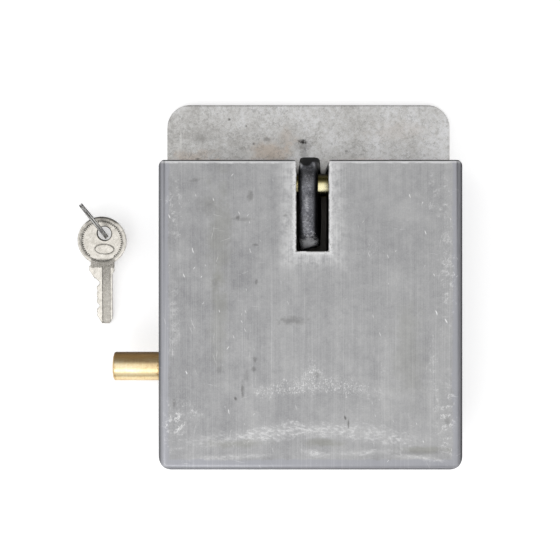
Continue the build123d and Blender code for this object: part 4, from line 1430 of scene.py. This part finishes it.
    @staticmethod
    def _oval(form: Form, centre: Pair, size: Pair, height: float) -> None:
        """Add a thin oval wire.

        Args:
            form: The form that gets it.
            centre: Its centre on the flat key.
            size: Its half length and half width.
            height: The height of its middle.
        """
        wire, segments = 0.17, 96
        section = Matrix.Translation((1.0, 0.0, 0.0)) @ Matrix.Rotation(radians(90), 4, "X")
        made = bmesh.ops.create_circle(form.mesh, radius=wire, segments=8, matrix=section)
        edges = list({edge for vert in made["verts"] for edge in vert.link_edges})
        spun = bmesh.ops.spin(
            form.mesh,
            geom=[*made["verts"], *edges],
            cent=(0.0, 0.0, 0.0),
            axis=(0.0, 0.0, 1.0),
            angle=2 * pi,
            steps=segments,
            use_merge=True,
        )
        verts = {vert for part in spun["geom_last"] for vert in getattr(part, "verts", [])}
        reach = set(made["verts"]) | verts
        grown = True
        while grown:
            more = {v for vert in reach for edge in vert.link_edges for v in edge.verts} - reach
            reach |= more
            grown = bool(more)
        for vert in reach:
            out = Vector((vert.co.x, vert.co.y))
            spread = out.length - 1.0
            heading = out.normalized()
            vert.co.x = centre[0] + heading.x * (size[0] + spread)
            vert.co.y = centre[1] + heading.y * (size[1] + spread)
            vert.co.z += height


@dataclass
class Studio:
    """Camera, floor, lamp and world."""

    camera_place: tuple[float, float, float] = (-15.04, 19.91, 560.0)
    lens: float = 67.5
    sensor: float = 36.0
    floor_size: float = 30000.0
    floor_level: float = -0.15
    floor_glow: float = 0.45
    shadow_reach: float = 20.0
    floor_colour: Colour = (0.9, 0.9, 0.9)
    floor_roughness: float = 0.9
    lamp_place: tuple[float, float, float] = (-300.0, -620.0, 950.0)
    lamp_size: float = 420.0
    lamp_watts: float = 0.8
    sky_strength: float = 1.12
    sky_along_x: tuple[Pair, ...] = (
        (-1.0, 0.95), (-0.2, 1.0), (0.1, 1.0), (0.35, 0.9), (0.6, 0.68), (0.88, 0.36), (1.0, 0.2),
    )
    sky_along_y: tuple[Pair, ...] = (
        (-1.0, 0.4), (-0.85, 0.75), (-0.6, 1.0), (0.28, 1.0), (0.5, 0.42), (0.7, 0.14), (1.0, 0.05),
    )

    def build(self) -> None:
        """Set up everything round the object."""
        self._camera()
        self._floor()
        self._world()
        self._lamp()
        bpy.context.scene.view_settings.view_transform = "Standard"

    def _camera(self) -> None:
        """Look straight down at the lock, as the photograph does."""
        data = bpy.data.cameras.new("camera")
        data.sensor_width = self.sensor
        data.lens = self.lens
        data.clip_start = 0.01
        camera = bpy.data.objects.new("camera", data)
        camera.location = Vector(self.camera_place) * MM
        bpy.context.scene.collection.objects.link(camera)
        bpy.context.scene.camera = camera

    def _floor(self) -> None:
        """Lay a wide pale floor under the lock."""
        mesh = bmesh.new()
        place = Matrix.Translation((0.0, 0.0, self.floor_level * MM))
        bmesh.ops.create_grid(mesh, x_segments=1, y_segments=1, size=self.floor_size * MM / 2, matrix=place)
        data = bpy.data.meshes.new("floor")
        mesh.to_mesh(data)
        mesh.free()
        floor = bpy.data.objects.new("floor", data)
        bpy.context.scene.collection.objects.link(floor)
        graph = Graph("floor_white")
        path = graph.node("ShaderNodeLightPath", output="Is Camera Ray")
        seen = path.at_least(path.beside("Is Glossy Ray")).at_least(path.beside("Is Transmission Ray"))
        seen = seen * graph.closed_in(self.shadow_reach).step(0.95, 0.6)
        data.materials.append(
            graph.surface(
                base_color=self.floor_colour,
                roughness=self.floor_roughness,
                specular_ior_level=0.1,
                emission_color=(1.0, 1.0, 1.0, 1.0),
                emission_strength=seen * self.floor_glow,
            )
        )

    def _world(self) -> None:
        """Light the scene with a soft sky that is dark past the lock's right and top sides."""
        world = bpy.data.worlds.new("studio")
        graph = Graph(world)
        x, y, _ = graph.parts(graph.node("ShaderNodeTexCoord", output="Generated"))
        sides = [
            graph.ramp(part * 0.5 + 0.5, [((place + 1) / 2, (light,) * 3) for place, light in stops])
            for part, stops in ((x, self.sky_along_x), (y, self.sky_along_y))
        ]
        sky = graph.node("ShaderNodeVectorMath", {"operation": "MULTIPLY"}, {0: sides[0], 1: sides[1]})
        light = graph.node("ShaderNodeBackground", None, {"Color": sky, "Strength": self.sky_strength})
        graph.finish(light, "ShaderNodeOutputWorld")
        bpy.context.scene.world = world

    def _lamp(self) -> None:
        """Add a square soft lamp that faces the lock."""
        data = bpy.data.lights.new("key_lamp", "AREA")
        data.size = self.lamp_size * MM
        data.energy = self.lamp_watts
        lamp = bpy.data.objects.new("key_lamp", data)
        lamp.location = Vector(self.lamp_place) * MM
        lamp.rotation_mode = "QUATERNION"
        lamp.rotation_quaternion = Vector(self.lamp_place).to_track_quat("Z", "Y")
        bpy.context.scene.collection.objects.link(lamp)


@dataclass
class Works:
    """The parts inside the lock, the screws, and the cylinder's brass."""

    bolt_brass: tuple[str, ...] = ("bolt",)
    barrel_brass: tuple[str, ...] = ("barrel", "plug", "wafers")
    zinc: tuple[str, ...] = (
        "cover_screws", "guide_screws", "bolt_nut", "stud_washers", "stud_screws",
        "clamp_screws", "grub_screw", "bearing_screws",
    )
    # Near black: partly their own dark finish, partly painted shade for the deep pocket.
    dark_steel: tuple[str, ...] = ("slot_liner", "cover_blocks")
    # Painted shadow on the bolt beside the link.
    bolt_painted_shadow: tuple[Mark, ...] = (Mark(-7.4, 65.0, 1.3, 9.0, 1.0),)
    # Painted contact shadow where the barrel meets the cover's wall, and a darker band at its left rim.
    barrel_grime_and_painted_shadow: tuple[Mark, ...] = (
        Mark(-75.6, -26.8, 1.6, 30.0, 1.0), Mark(-99.6, -26.8, 1.7, 30.0, 0.7),
    )
    milled: tuple[str, ...] = (
        "left_bolt_guide", "right_bolt_guide", "carriage", "follower_pin", "guide_studs",
        "barrel_clamp", "wafer_springs", "plug_circlip", "drum", "drum_bearing",
    )

    def build(self) -> None:
        """Dress every node of the works."""
        zinc = PlatedSteel("zinc_plate", display(196, 199, 203), display(168, 171, 176), 0.34)
        # Near black for the slot liner and cover blocks: partly their finish, partly painted shade deep in
        # the pocket.
        dark = MachinedSteel("dark_steel", display(18, 18, 19), display(30, 30, 31), 0.6)
        milled = MachinedSteel("milled_steel", display(140, 141, 144), display(176, 177, 180))
        finishes = (
            (self.bolt_brass, self._bolt_finish()),
            (self.barrel_brass, self._brass("barrel", 0.15, 0.55, self.barrel_grime_and_painted_shadow)),
            (self.zinc, zinc),
            (self.dark_steel, dark),
            (self.milled, milled),
        )
        for nodes, finish in finishes:
            material = finish.make()
            for node in nodes:
                dress(node, material)

    def _bolt_finish(self) -> TurnedBrass:
        """Change the turned brass to the bolt's, which is yellower and duller than the barrel's.

        Returns:
            The finish.
        """
        return replace(
            self._brass("bolt", -0.2, 0.5, self.bolt_painted_shadow),
            painted_black_top_from=0.35,
            dull=0.0,
            roughness=0.2,
            painted_lower_shade=0.0,
            brass=display(246, 234, 182),
            pale=display(252, 246, 208),
            brown=display(234, 214, 156),
            tarnish_and_painted_shade=display(128, 116, 60),
        )

    @staticmethod
    def _brass(node: str, painted_upper_shade_from: float, painted_upper_shade_to: float, grime_and_painted_shade: tuple[Mark, ...]) -> TurnedBrass:
        """Return the brass of a node that is turned about the X axis.

        Args:
            node: Name of the node.
            painted_upper_shade_from: Height on the bar, in radii from its axis, where the painted shade on
                its upper side begins.
            painted_upper_shade_to: Height where it is full.
            grime_and_painted_shade: Dirty places and painted shadows.

        Returns:
            The finish.
        """
        low, high = (corner * PER_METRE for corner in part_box(node))
        axis, radius = (low.y + high.y) / 2, (high.y - low.y) / 2
        return TurnedBrass(f"{node}_brass", axis, radius, painted_upper_shade_from, painted_upper_shade_to, grime_and_painted_shade)


def main() -> None:
    """Build the scene in order."""
    logging.basicConfig(level=logging.INFO, format="%(name)s %(message)s")
    Studio().build()
    CoverBox().build()
    Works().build()
    HangingLink().build()
    KeySet().build()


if __name__ == "__main__":
    main()
